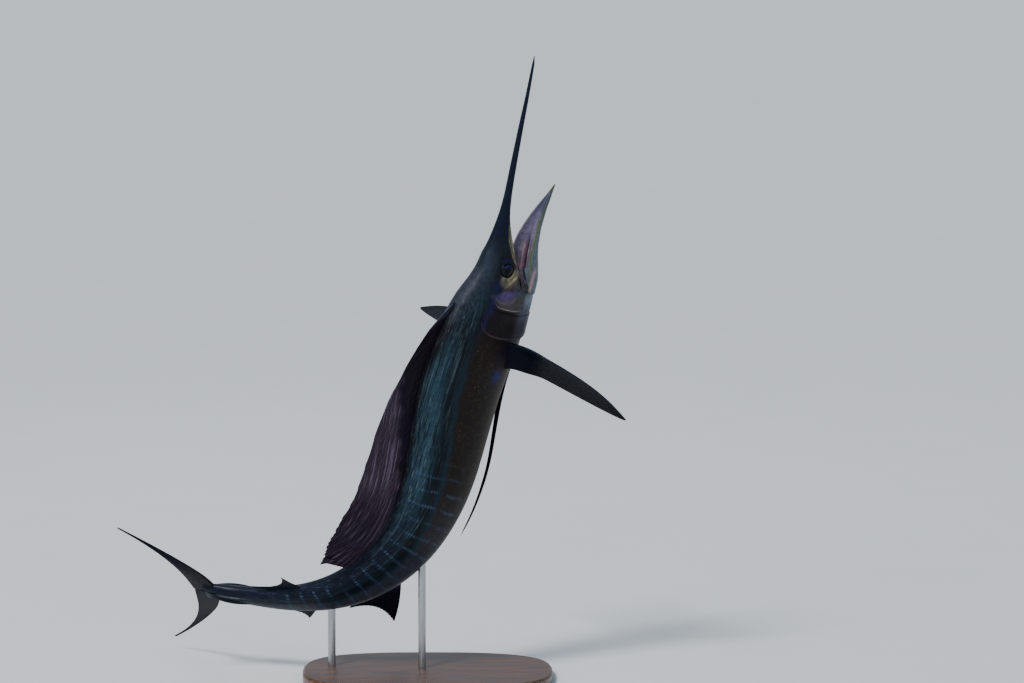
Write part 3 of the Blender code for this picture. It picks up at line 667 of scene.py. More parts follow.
def trunk_tint(s, angle, wave, edge):
    """Dark ridge, teal upper flank with a dark lower border, brown belly, paler below and behind."""
    bright = near(angle, 38, 17) * after(s, 0.47, 0.12) * (0.6 + 0.4 * wave)
    ridge_turn = 3 + 17 * (1 - after(s, 0.44, 0.24))
    back = painted(
        rgb(11, 19, 31),
        (19, 39, 52, after(s, 0.44, 0.2) * after(angle, 4, 12)),
        (38, 61, 75, bright),
        (4, 9, 14, near(angle, edge - 13, 8) * after(s, 0.4, 0.1) * 0.9),
        (12, 12, 22, (1 - after(angle, ridge_turn, 10)) * after(s, 0.38, 0.1)),
        (12, 18, 36, after(s, 0.92, 0.3) * before(angle, 75, 30)),
    )
    belly = painted(
        rgb(25, 18, 15),
        (40, 31, 25, after(angle, 112, 34)),
        (96, 90, 88, after(angle, 146, 28) * after(s, 0.5, 0.12)),
        (52, 58, 72, after(s, 0.9, 0.4) * 0.8),
    )
    return over(back, belly, after(angle, edge - 4, 10))


def face_tint(s, d, angle, bottom):
    """Dark blue bill, slate crown, dull cheek, golden lower lid, violet patches, dark gill cover."""
    skin = np.stack([s, d, angle], axis=1)
    blotch = ripple(skin, (110, 0, 0.3, 0.5), (230, 90, -0.2, 2))
    brass = ripple(skin, (190, 260, 0, 0), (90, -310, 0, 1))
    crown = near(angle, -4, 32) * after(s, 0.26, 0.05)
    away = eye_distance(s, d)
    lean = 0.15 + 1.2 * (s - EYE[0]) / 0.03 - 0.35 * (d - EYE[1]) / 0.03
    below = ease(lean / 0.8) * before(d, EYE[1] + 0.022, 0.018)
    front_lid = spot(s, EYE[0] - 0.028, 0.006, d, EYE[1] + 0.004, 0.018)
    gold = between(away, 0.0215, 0.003, 0.06, 0.026) * below
    # Painted highlight: a pale streak across the gold patch below the eye, with the cream line along the
    # lower lid
    highlight_and_lid_line = 0.7 * near(s, 0.295 + d, 0.0035) * near(d, 0.008, 0.018)
    highlight_and_lid_line += 0.9 * near(away, 0.0258, 0.0024) * before(s, 0.3, 0.006)
    patch = np.hypot((s - 0.352 - 0.1 * (d - 0.022)) / 0.018, (d - 0.02) / 0.031) + 0.1 * brass
    behind = s - arc_place(d)
    arc = near(behind, -0.001, 0.0012) * between(d, -0.058, 0.02, 0.06, 0.02)
    violet = near(d, 0.058, 0.012) * after(s, 0.3, 0.03) * (0.7 + 0.3 * after(s, 0.4, 0.04))
    lip_width = 0.021 * after(s, 0.085, 0.11) * (1 - 0.6 * after(s, 0.23, 0.06))
    above_lip = d - bottom
    lip = before(above_lip, lip_width, 0.005) * between(s, 0.1, 0.05, 0.29, 0.03)
    return painted(
        rgb(17, 27, 34),
        # Bill, crown and brow
        (7, 17, 38, before(s, 0.24, 0.1)),
        (44, 53, 68, spot(s, 0.27, 0.055, angle, 28, 26) * 0.9),
        (21, 41, 53, near(angle, 44, 20) * after(s, 0.31, 0.05) * 0.8),
        (45, 51, 64, crown),
        (54, 46, 46, crown * ease(blotch) * 0.5),
        (26, 33, 42, after(angle, -20, 30) * ease(-blotch) * after(s, 0.28, 0.05) * 0.35),
        (6, 11, 20, near(angle, 66, 11) * after(s, 0.29, 0.05) * 0.9),
        # Cheek and throat
        (66, 59, 62, after(angle, 70, 10) * after(s, 0.29, 0.03)),
        # Pale blue-grey under the throat: partly its own pale tone, partly a painted reflection
        (104, 116, 130, after(angle, 114, 12) * after(s, 0.3, 0.03)),
        (56, 62, 78, after(angle, 108, 12) * after(s, 0.35, 0.04)),
        (52, 64, 74, spot(s, 0.335, 0.02, d, -0.036, 0.02) * 0.8),
        # Lids, with a painted highlight on the gold below the eye
        (7, 7, 17, bell(away / 0.042) * (1 - below) * 0.95),
        (30, 28, 70, front_lid * 0.7),
        (54, 51, 60, spot(s, 0.272, 0.022, d, -0.002, 0.022) * 0.8),
        (124, 116, 90, gold * (0.75 + 0.25 * brass)),
        (60, 58, 58, gold * after(d, 0.02, 0.016) * after(s, 0.298, 0.014) * 0.8),
        (204, 190, 150, highlight_and_lid_line * ease(below * 1.6 - 0.5) * (0.75 + 0.25 * brass)),
        # Cheek patches, the edge of the cheek plate and the gill cover behind it
        (34, 30, 40, near(s, 0.333, 0.006) * after(angle, 70, 10) * 0.5),
        (96, 88, 90, near(patch, 1.2, 0.3) * after(s, 0.348, 0.012) * 0.55),
        (80, 62, 110, before(patch, 1.2, 0.75) * 0.95),
        (60, 56, 96, spot(s, 0.34, 0.009, d, -0.012, 0.012) * 0.7),
        (21, 11, 16, ease(behind / 0.004) * between(angle, 60, 8, 120, 16)),
        (170, 160, 158, arc * (0.2 + 0.42 * near(d, -0.002, 0.04))),
        (24, 22, 74, violet * 0.85),
        # Upper lip
        (120, 116, 96, lip * (0.85 + 0.15 * brass)),
        (44, 34, 30, lip * near(above_lip, 0.62 * lip_width, 0.002) * 0.6),
        (54, 62, 44, lip * near(above_lip, 0.18 * lip_width, 0.0016) * 0.5),
    )


def jaw_tint(fish, normal):
    """Grey outside with a pink strip and olive rim, lilac inside with pink and white veins."""
    s, d, r = fish.T
    rim_d, _, half, _ = curve(JAW, s)
    within = after(normal[:, 1] - normal[:, 2] * np.sign(r), -0.2, 0.3) * after(s, 0.05, 0.02)
    across = np.abs(r) / half
    right = ease(r / 0.004)
    left = ease(-r / 0.004)
    strip = near(d, 0.22 * (s - 0.285) - 0.068, 0.0074) * between(s, 0.262, 0.02, 0.336, 0.01)
    veins = ripple(fish, (17, 0, 330, 0.4), (-11, 0, 610, 2), (23, 0, -210, 3))
    pale = near(across, 0.76, 0.045) + near(across, 0.64, 0.04) + near(across, 0.25, 0.07)
    # Painted shadow: a dark line just inside each lip, wider on the right side
    lip_shadow_line = near(across, 0.84, 0.09) * right + near(across, 0.97, 0.03)
    outside = painted(
        rgb(86, 97, 108),
        # Olive band below the rim: the rim's own colour with a painted highlight on it
        (98, 108, 88, near(d, rim_d - 0.006, 0.007) * 0.8),
        (44, 54, 66, before(s, 0.14, 0.08)),
        (184, 138, 156, strip * 0.9),
        (92, 98, 72, near(d, rim_d, 0.003) * 0.8),
    )
    inside = painted(
        rgb(116, 110, 138),
        (74, 80, 102, before(s, 0.17, 0.08)),
        (78, 74, 98, ease(-0.1 - 1.3 * veins) * 0.5),
        # Painted light: paler lilac on the left inner wall, lifting the shade that falls there
        (146, 136, 168, near(across, 0.85, 0.22) * left * 0.6),
        (158, 92, 114, near(across, 0.57, 0.14) * after(s, 0.2, 0.04) * (0.6 - 0.35 * veins)),
        (206, 190, 192, pale * after(s, 0.205, 0.04) * (0.5 + 0.4 * veins)),
        # Painted shade: a dark line in the groove beside the tongue on the left side
        (30, 24, 36, near(across, 0.43, 0.06) * left * after(s, 0.17, 0.04) * 0.85),
        (34, 30, 42, lip_shadow_line * after(s, 0.1, 0.06) * 0.85),
    )
    return over(outside, inside, within), within


def skin_tint(fish, normal):
    """Colour of the skin, with shares of streaks, flecks, bars and wet flesh."""
    s, d, r = fish.T
    turn, share = turn_of(fish)
    angle = np.degrees(turn)
    bottom = body_sizes(s)[1]
    rim_d = curve(JAW, s)[0]
    # Face and trunk, parted by a ragged line
    wave = ripple(fish, (31, 70, 40, 0.3), (57, -43, 65, 1.9), (13, 110, -30, 4))
    edge = 66 + 12 * np.clip((s - 0.5) / 0.36, 0, 1.6) + 3 * wave
    high = before(angle, 72, 14)
    back_mix = after(s, 0.43 - 0.012 * wave, 0.085)
    side_mix = after(s, 0.462 - 0.09 * np.abs(d) * (d < 0), 0.012)
    tint = face_tint(s, d, angle, bottom)
    tint = over(tint, trunk_tint(s, angle, wave, edge), back_mix * high + side_mix * (1 - high))
    # Gill cover and the root of the fin behind it
    flap = after(share, 1.03, 0.03) * between(s, 0.4, 0.02, 0.492, 0.003) * after(angle, 60, 6)
    flap_colour = painted(rgb(18, 12, 17), (50, 48, 60, after(angle, 103, 16)))
    v = np.clip((turn - GILL_TOP) / (GILL_LOW - GILL_TOP), 0, 1)
    rim = near(s, gill_rear(v) - 0.003, 0.0026) * between(turn, GILL_TOP, 0.1, GILL_LOW, 0.1)
    tint = painted(
        over(tint, flap_colour, flap),
        (84, 66, 72, rim * 0.45),
        (26, 26, 96, spot(s, 0.595, 0.018, d, -0.055, 0.02) * 0.85),
        (20, 14, 40, spot(s, 0.515, 0.032, d, -0.05, 0.026) * 0.8),
    )
    # Jaw, palate and the fold at the corner of the mouth
    jaw = before(d, rim_d + 0.003, 0.004) * before(s, JAW_END + 0.004, 0.012)
    jaw_colour, within = jaw_tint(fish, normal)
    palate = before(normal[:, 1], -0.25, 0.2) * after(angle, 114, 8)
    palate *= between(s, 0.1, 0.05, 0.334, 0.006) * (1 - jaw)
    tint = painted(over(tint, jaw_colour, jaw), (106, 88, 102, palate))
    fold = after(angle, 116, 5) * between(s, 0.25, 0.006, 0.336, 0.006) * (1 - jaw)
    down = (bottom - d) / np.maximum(bottom - rim_d, 0.004)
    crease = 0.45 + 0.25 * np.clip((s - 0.262) / 0.068, 0, 1)
    fold_colour = painted(
        rgb(56, 52, 56),
        (98, 110, 122, after(down, crease, 0.1)),
        # Painted highlight along the middle of the fold
        (132, 132, 138, near(down, 0.5 * crease, 0.1) * 0.6),
        # Painted shadow in the crease of the fold
        (16, 11, 14, near(down, crease, 0.09)),
    )
    # Throat, gill chamber and eye socket
    throat = before(share, 0.95, 0.05) * between(s, 0.3, 0.01, 0.42, 0.01)
    throat *= before(d, -0.02, 0.02) * before(np.abs(r), 0.046, 0.004)
    chamber = before(normal[:, 2] * np.sign(r), -0.2, 0.2) * after(share, 1, 0.02)
    tint = painted(
        over(tint, fold_colour, fold * (1 - palate)),
        (96, 56, 66, throat),
        # Red gills under the flap, darkened as painted shade
        (96, 26, 32, chamber * between(s, 0.4, 0.01, 0.49, 0.004)),
        # Painted shade: the skin inside the eye socket made near black
        (5, 5, 9, before(eye_distance(s, d), 0.0222, 0.001)),
    )
    # Shares of the fine patterns
    streaks = after(s, 0.32, 0.14) * before(angle, edge - 2, 16) * (1 - 0.6 * after(s, 0.95, 0.3))
    cheek = between(angle, 72, 8, 126, 12) * between(s, 0.335, 0.015, 0.392, 0.006) * (1 - jaw)
    flecks = after(angle, edge, 8) * after(s, 0.485, 0.02) + 0.45 * cheek
    bars = between(s, 0.7, 0.16, 1.6, 0.1) * between(angle, 22, 12, 132, 12)
    bars *= 0.05 + 0.6 * after(s, 0.86, 0.14)
    wet = np.clip(jaw * within + palate + throat, 0, 1)
    return tint, np.stack([streaks, flecks, bars, wet], axis=1)


# Materials

class Look:
    """A material, with a short call for each kind of node that it is built from."""

    def __init__(self, name):
        self.material = bpy.data.materials.new(name)
        self.material.use_nodes = True
        self.tree = self.material.node_tree
        self.shader = self.tree.nodes["Principled BSDF"]

    def node(self, kind):
        return self.tree.nodes.new("ShaderNode" + kind)

    def fill(self, node, sockets):
        """Set or link a node's sockets, by name or place, and return its outputs."""
        for key, value in sockets.items():
            if isinstance(value, bpy.types.NodeSocket):
                self.tree.links.new(value, node.inputs[key])
            else:
                node.inputs[key].default_value = value
        return node.outputs

    def attribute(self, name):
        node = self.node("Attribute")
        node.attribute_name = name
        return node.outputs

    def math(self, operation, *values):
        node = self.node("Math")
        node.operation = operation
        return self.fill(node, dict(enumerate(values)))[0]

    def times(self, value, *others):
        for other in others:
            value = self.math("MULTIPLY", value, other)
        return value

    def stretch(self, where, *amounts):
        """Coordinates multiplied along each axis, for long or fine patterns."""
        node = self.node("VectorMath")
        node.operation = "MULTIPLY"
        return self.fill(node, {0: where, 1: amounts})[0]

    def scaled(self, colour, amount):
        node = self.node("VectorMath")
        node.operation = "SCALE"
        return self.fill(node, {0: colour, "Scale": amount})[0]

    def noise(self, where, scale=1, detail=3, roughness=0.55):
        sockets = {"Vector": where, "Scale": scale, "Detail": detail, "Roughness": roughness}
        return self.fill(self.node("TexNoise"), sockets)["Fac"]

    def remap(self, value, low, high, to_low=0, to_high=1):
        node = self.node("MapRange")
        node.interpolation_type = "SMOOTHSTEP"
        sockets = {"Value": value, "From Min": low, "From Max": high, "To Min": to_low, "To Max": to_high}
        return self.fill(node, sockets)["Result"]

    def mix(self, share, *pair):
        """The second colour over the first by the share; a plain one is given in screen values."""
        node = self.node("Mix")
        node.data_type = "RGBA"
        sockets = {"Factor": share}
        places = [k for k, socket in enumerate(node.inputs) if socket.type == "RGBA"]
        for k, value in zip(places, pair):
            sockets[k] = value if isinstance(value, bpy.types.NodeSocket) else (*rgb(*value), 1)
        self.fill(node, sockets)
        return [socket for socket in node.outputs if socket.type == "RGBA"][0]

    def shade(self, **sockets):
        """Set or link the shader's sockets, given by their names with _ for each space."""
        self.fill(self.shader, {name.replace("_", " "): value for name, value in sockets.items()})

    def bump(self, height, distance, strength):
        sockets = {"Height": height, "Distance": distance, "Strength": strength}
        self.shade(Normal=self.fill(self.node("Bump"), sockets)["Normal"])
        return self.material


def skin_material():
    """Wet skin: lengthwise streaks, flecks, rows of pale spots and fine scales over its tint."""
    look = Look("sailfish_skin")
    marks = look.attribute("marks")
    split = look.fill(look.node("SeparateColor"), {"Color": marks["Color"]})
    streaks, flecks, bars = split
    wet = marks["Alpha"]
    fish = look.attribute("fish")["Vector"]
    along = look.stretch(fish, 4, 120, 120)
    slow = look.stretch(fish, 3, 34, 34)
    hairs = look.stretch(fish, 6, 330, 330)
    grains = look.stretch(fish, 260, 420, 420)
    fine = look.stretch(fish, 240, 1050, 1050)
    streak = look.remap(look.noise(along, 1, 5, 0.6), 0.5, 0.68)
    broad = look.remap(look.noise(slow), 0.4, 0.62)
    tint = look.attribute("tint")["Color"]
    colour = look.mix(look.times(streak, broad, streaks, 0.55), tint, (80, 100, 110))
    dark = look.remap(look.noise(along, 1.9, 4), 0.5, 0.62)
    colour = look.mix(look.times(dark, streaks, 0.75), colour, (4, 7, 11))
    hair = look.remap(look.noise(hairs, 1, 3, 0.6), 0.56, 0.72)
    colour = look.mix(look.times(hair, streaks, 0.35), colour, (110, 132, 140))
    colour = look.scaled(colour, look.remap(look.noise(fish, 90, 5, 0.65), 0.3, 0.7, 0.74, 1.2))
    grain = look.remap(look.noise(grains, 1, 2, 0.7), 0.6, 0.72)
    patch = look.remap(look.noise(fish, 38, 2), 0.42, 0.6)
    colour = look.mix(look.times(grain, patch, flecks, 0.5), colour, (150, 118, 70))
    parts = look.fill(look.node("SeparateXYZ"), {0: fish})
    wavy = look.math("ADD", look.times(parts["X"], 23), look.times(look.noise(fish, 9, 2), 0.55))
    across = look.math("SUBTRACT", look.math("FRACT", wavy), 0.5)
    down = look.math("SUBTRACT", look.math("FRACT", look.times(parts["Y"], 105)), 0.5)
    across = look.math("POWER", look.times(across, 7.5), 2)
    down = look.math("POWER", look.times(down, 2.3), 2)
    dots = look.remap(look.math("ADD", across, down), 1, 0.35)
    worn = look.remap(look.noise(fish, 30, 2), 0.3, 0.62)
    colour = look.mix(look.times(dots, bars, worn, 0.5), colour, (84, 112, 150))
    scales = look.noise(fine, 1, 2, 0.5)
    rough = look.math("SUBTRACT", look.remap(scales, 0.3, 0.7, 0.42, 0.6), look.times(wet, 0.06))
    metal = look.math("SUBTRACT", 0.3, look.times(wet, 0.3))
    look.shade(Base_Color=colour, Roughness=rough, Metallic=metal)
    look.shade(Specular_IOR_Level=0.14, Coat_Weight=0.05, Coat_Roughness=0.2)
    height = look.math("ADD", scales, look.times(look.noise(along, 0.8, 4), 0.8))
    return look.bump(height, 0.0008, 0.35)


def fin_material(name, metallic, streak_colour, amount):
    """Fin membrane: a tint from the formulas, with streaks along the rays."""
    look = Look(name)
    rays = look.attribute("rays")["Vector"]
    fine = look.stretch(rays, 14, 9, 1)
    streak = look.remap(look.noise(look.stretch(rays, 1.7, 1.2, 1), 1, 5, 0.62), 0.5, 0.68)
    share = look.times(streak, look.attribute("pale")["Fac"], amount)
    colour = look.mix(share, look.attribute("tint")["Color"], streak_colour)
    colour = look.scaled(colour, look.remap(look.noise(fine, 1, 4), 0.35, 0.65, 0.7, 1.25))
    look.shade(Base_Color=colour, Roughness=look.remap(look.noise(fine, 0.7), 0.3, 0.7, 0.3, 0.5))
    look.shade(Metallic=metallic, Specular_IOR_Level=0.06, Coat_Weight=0.04, Coat_Roughness=0.15)
    return look.bump(look.noise(fine, 1.3), 0.0006, 0.3)


def eye_material():
    """A dark wet eye with faint gold flecks in the iris."""
    look = Look("sailfish_eye")
    fish = look.attribute("fish")["Vector"]
    flecks = look.remap(look.noise(fish, 900, 3, 0.6), 0.55, 0.72)
    share = look.times(flecks, look.attribute("pale")["Fac"])
    look.shade(Base_Color=look.mix(share, look.attribute("tint")["Color"], (150, 140, 110)))
    look.shade(Roughness=look.remap(look.noise(fish, 300), 0.3, 0.7, 0.1, 0.16))
    look.shade(Specular_IOR_Level=0.05, Coat_Weight=0.12, Coat_Roughness=0.03)
    return look.bump(look.noise(fish, 500, 2), 0.0002, 0.1)


def wood_material():
    """Dark oiled wood with lengthwise grain and pores."""
    look = Look("stand_wood_grain")
    where = look.node("TexCoord").outputs["Object"]
    grain = look.noise(look.stretch(where, 2.2, 26, 26), 1, 5)
    rings = look.remap(look.math("SINE", look.times(grain, 38)), -1, 1)
    pore = look.remap(look.noise(look.stretch(where, 30, 620, 620), 1, 2), 0.6, 0.7)
    colour = look.mix(rings, (62, 38, 24), (96, 62, 40))
    look.shade(Base_Color=look.mix(look.times(pore, 0.7), colour, (30, 18, 12)))
    look.shade(Roughness=look.remap(rings, 0, 1, 0.34, 0.46))
    look.shade(Coat_Weight=0.25, Coat_Roughness=0.2)
    return look.bump(look.math("SUBTRACT", 1, pore), 0.0003, 0.5)


def steel_material():
    """Steel with fine drawn lines along the rod."""
    look = Look("stand_steel_drawn")
    where = look.node("TexCoord").outputs["Object"]
    drawn = look.noise(look.stretch(where, 900, 900, 12))
    look.shade(Base_Color=look.mix(look.remap(drawn, 0.3, 0.7), (150, 152, 156), (196, 198, 200)))
    look.shade(Roughness=look.remap(drawn, 0.3, 0.7, 0.22, 0.38), Metallic=1)
    return look.bump(drawn, 0.0002, 0.25)


# Pieces

def finish_piece(obj, material, nodes):
    obj.data.materials.clear()
    obj.data.materials.append(material)
    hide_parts(*nodes)
    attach(obj, "root")


def write_attribute(mesh, name, kind, values):
    layer = mesh.attributes.new(name, kind, "POINT")
    field = {"FLOAT_VECTOR": "vector", "FLOAT_COLOR": "color", "FLOAT": "value"}[kind]
    layer.data.foreach_set(field, np.ascontiguousarray(values, dtype=np.float32).ravel())


def write_tint(mesh, tint):
    write_attribute(mesh, "tint", "FLOAT_COLOR", np.concatenate((tint, np.ones((len(tint), 1))), axis=1))


def mesh_points(mesh):
    points = np.empty(len(mesh.vertices) * 3)
    mesh.vertices.foreach_get("co", points)
    return points.reshape(-1, 3)


def bend_mesh(mesh, fish):
    """Keep the straight places for the texture and move the mesh to its bent ones."""
    write_attribute(mesh, "fish", "FLOAT_VECTOR", fish)
    mesh.vertices.foreach_set("co", place(fish).astype(np.float32).ravel())
    mesh.update()
    mesh.shade_smooth()


def make_skin():
    skin = skin_mesh()
    mesh = skin.data
    fish = mesh_points(mesh)
    normal = np.empty(len(fish) * 3)
    mesh.vertex_normals.foreach_get("vector", normal)
    tint, marks = skin_tint(fish, normal.reshape(-1, 3))
    write_tint(mesh, tint)
    write_attribute(mesh, "marks", "FLOAT_COLOR", marks)
    bend_mesh(mesh, fish)
    mesh.set_sharp_from_angle(angle=SHARP_EDGE)
    flesh = ["bill", "head", "lower_jaw", "gill_cover_right", "gill_cover_left"]
    flesh += ["body_front", "body_middle", "body_rear", "tail_stem"]
    finish_piece(skin, skin_material(), flesh)


def make_eye(name, side, material):
    """A whole ball: wide black pupil, deep blue iris, dark rim and a painted blue reflection in front."""
    radii = (EYE_RADIUS, EYE_RADIUS, EYE_DEPTH)
    eye = ellipsoid(name + "_ball", EYE * (1, 1, side), radii, *EYE_GRID)
    fish = mesh_points(eye.data)
    s, d, _ = fish.T
    out = eye_distance(s, d) / EYE_RADIUS
    tint = painted(
        rgb(2, 2, 4),
        (9, 12, 30, after(out, 0.6, 0.06)),
        (30, 32, 38, near(out, 0.62, 0.02) * 0.5),
        # Painted reflection: a blue spot of sky light on the front of the ball
        (26, 26, 76, spot(s, EYE[0] - 0.014, 0.005, d, EYE[1] + 0.003, 0.012) * 0.7),
        (6, 6, 10, after(out, 0.88, 0.08)),
    )
    write_tint(eye.data, tint)
    write_attribute(eye.data, "pale", "FLOAT", between(out, 0.62, 0.05, 0.9, 0.1) * 0.3)
    bend_mesh(eye.data, fish)
    finish_piece(eye, material, [name])


def fin_piece(name, nodes, material, middle, thick, tint, pale, rays):
    """A fin round its middle surface, given as posed points in columns of rows."""
    normal = unit(np.cross(np.gradient(middle, axis=0), np.gradient(middle, axis=1)) + 1e-12)
    half = 0.5 * thick[..., None]
    fin = shell(name, middle + normal * half, middle - normal * half)
    tint, pale, rays = [
        np.tile(np.broadcast_to(values, middle.shape[:2] + (size,)).reshape(-1, size), (2, 1))
        for values, size in ((tint, 3), (pale, 1), (rays, 3))
    ]
    write_tint(fin.data, tint)
    write_attribute(fin.data, "pale", "FLOAT", pale)
    write_attribute(fin.data, "rays", "FLOAT_VECTOR", rays)
    fin.data.shade_smooth()
    finish_piece(fin, material, nodes)


def ray_grid(count, rows, sharp, columns=RAY_COLUMNS):
    """Shares across and along a fin, with 1 on each ray and 0 between them."""
    u, v = unit_grid(count * columns + 1, rows)
    return u, v, near(np.mod(u * count, 1), 0.5, sharp)


def thinning(v, ray, root, loss, ridge):
    """Thickness from root to tip, with a ridge along each ray."""
    return root - loss * v ** 0.7 + ridge * ray * (1 - 0.6 * v)


def ray_places(u, v, count, length):
    """Coordinates for the fin's texture: rays counted across, length along them."""
    return stacked(u * count, v * length, 0)


def make_sail(material):
    u, v, ray = ray_grid(SAIL_RAYS, 60, 0.16)
    base = SAIL_FROM + (SAIL_TO - SAIL_FROM) * u
    reach = 0.012 + 0.345 * arch(np.minimum(u / 0.98, 1)) ** 0.85 + 0.045 * u
    tip = np.minimum(base + reach, SAIL_END)
    notch = (1 - ray) * (0.01 + 0.012 * np.abs(np.sin(2.3 * u * SAIL_RAYS)))
    grow = v * (1 - notch * after(v, 0.6, 0.4))
    edge = curve(SAIL_EDGE, tip)[0] + FIN_ROOT_DEPTH
    height = -FIN_ROOT_DEPTH + edge * (1 - (1 - grow) ** 1.3)
    s = base + (tip - base) * grow
    top = body_sizes(s)[0]
    pleat = 0.0011 * np.sin(math.pi * u * SAIL_RAYS) * after(v, 0.25, 0.5)
    pleat += 0.0009 * np.sin(math.pi * u * SAIL_RAYS * 0.37 + 5 * v) * v
    sway = 0.01 * np.sin(5 * u + 1) * v * v + pleat
    wave = np.sin(9 * u + 2) * np.sin(5 * v + 7 * u)
    uneven = 0.006 * np.sin(60 * s) + 0.004 * np.sin(140 * s + 2)
    outer = after(s, 0.6, 0.1) * ease((height - 0.07 + 0.2 * (s - 0.64) + uneven) / 0.03)
    outer = outer * (1 - 0.6 * after(s, 0.95, 0.2))
    dots = near(np.mod(v * 9 + 0.5 * np.floor(u * SAIL_RAYS), 1), 0.5, 0.13)
    dots = dots * bell(np.mod(u * SAIL_RAYS, 1) / 0.2) * after(u, 0.25, 0.1)
    tint = painted(
        rgb(25, 16, 28),
        (24, 22, 46, ease(0.2 + 0.6 * wave) * after(u, 0.12, 0.2)),
        (62, 48, 62, outer * 0.9),
        (12, 7, 14, ray * 0.45),
        (44, 42, 62, after(v, 0.95, 0.05) * 0.4),
        # Front edge of the sail in the back's pale grey, partly a painted sheen
        (60, 63, 76, before(u, 0.06, 0.05) * 0.9),
        (5, 5, 14, dots * 0.6),
    )
    pale = (0.05 + 0.95 * outer)[..., None]
    lines = stacked(height * 150, s * 4, 0)
    thick = thinning(v, ray, 0.0022, 0.0014, 0.0012)
    fin_piece("sail", ["sail_front", "sail_middle", "sail_rear"], material,
              place_grid(s, top + height, sway), thick, tint, pale, lines)


def make_midline_fin(material, name, side, start, end, height, rake, trail, rays):
    u, v, ray = ray_grid(rays, 40, 0.17)
    base = start + (end - start) * u
    top, bottom, _, _, _ = body_sizes(base)
    foot = top - FIN_ROOT_DEPTH if side > 0 else bottom + FIN_ROOT_DEPTH
    front = (1 - u) ** 1.6
    grow = v * (1 - 0.02 * (1 - ray) * after(v, 0.6, 0.4))
    rise = height * (front + 0.18 * u) * grow + FIN_ROOT_DEPTH * v
    sweep = rake * front * grow + trail * u ** 3 * grow
    bow = 0.0015 * arch(v) * np.sin(2 + 4 * u)
    root_fade = 1 - ease(v / 0.35)
    tint = painted(rgb(17, 19, 34), (8, 8, 14, ray * 0.6), (60, 64, 80, root_fade * 0.5))
    fin_piece(name + "_blade", [name], material, place_grid(base + sweep, foot + side * rise, bow),
              thinning(v, ray, 0.0026, 0.0017, 0.0016), tint, 0.4, ray_places(u, v, rays, 2))


def pectoral_edges(reach):
    """Places of the leading and trailing edges behind the line from root to tip."""
    front = PECTORAL_TIP * reach ** 3 - PECTORAL_BOW * arch(reach ** 0.62)
    front -= PECTORAL_SICKLE * arch(reach ** 2.2)
    rear = PECTORAL_TIP + PECTORAL_WIDTH * (1 - reach) ** 0.55 + PECTORAL_ROOT_FLARE * (1 - reach) ** 9
    return front, rear + PECTORAL_TIP_WIDTH


def make_pectoral(material, name, side, span, twist):
    """A long pointed fin, drawn in the frame of its own root."""
    heads, backs, rights = spine_axes(np.array([PECTORAL_S]))
    origin = place(np.array([[PECTORAL_S, 0, 0]]))[0]
    root = PECTORAL_ROOT - np.array([PECTORAL_S, 0, 0])
    u, v, ray = ray_grid(PECTORAL_RAYS, 110, 0.18)
    reach = -PECTORAL_INSET + (1 + PECTORAL_INSET) * v
    beyond = np.maximum(reach, 0)
    outer = ease(beyond / PECTORAL_SWELL_BY)
    front, rear = pectoral_edges(beyond)
    chord = (front + (rear - front) * u) * (1 + PECTORAL_SWELL * outer)
    turned_by = twist * outer[..., None]
    across = PECTORAL_LAY * np.cos(turned_by) + PECTORAL_TWIST_TO * np.sin(turned_by)
    local = root + span * reach[..., None] + chord[..., None] * across
    local[..., 1] += 0.0012 * arch(v) * np.sin(5 * u + 2)
    posed = origin - heads[0] * local[..., :1] + backs[0] * local[..., 1:2]
    posed = posed + rights[0] * (side * local[..., 2:])
    lead = bell(u / 0.1)
    thick = thinning(v, ray, 0.0058, 0.0047, 0.001) * (0.55 + 0.45 * before(u, 1, 0.5))
    thick += 0.002 * lead * (1 - 0.7 * v)
    root_fade = 1 - ease(v / 0.24)
    # The leading edge is tinted lighter as a painted highlight; the violet root is the fin's own colour
    tint = painted(rgb(3, 7, 19), (2, 3, 7, ray * 0.5), (12, 11, 34, root_fade * 0.8),
                   (20, 30, 44, lead * 0.6))
    fin_piece(name + "_blade", [name], material, posed, thick, tint, 0.3,
              ray_places(u, v, PECTORAL_RAYS, 4))


def make_pelvic(material, name, side):
    """A long thin fin laid back along the belly."""
    u, v, ray = ray_grid(PELVIC_RAYS, 120, 0.2, 8)
    s = PELVIC_START + 0.02 * u + PELVIC_LENGTH * (v - 0.02)
    drop = -0.007 + 0.03 * ease(v * 1.4) + 0.012 * v
    across = (u - 0.5) * (PELVIC_WIDTH * (1 - v) ** 0.8 + 0.003)
    bottom = body_sizes(s)[1]
    tint = painted(rgb(12, 12, 22), (48, 48, 62, (1 - ease(v / 0.2)) * 0.6))
    posed = place_grid(s, bottom - drop - 0.4 * across, side * (0.014 + 0.008 * v + across))
    fin_piece(name + "_blade", [name], material, posed, thinning(v, ray, 0.0038, 0.0026, 0.001),
              tint, 0.35, ray_places(u, v, PELVIC_RAYS, 5))


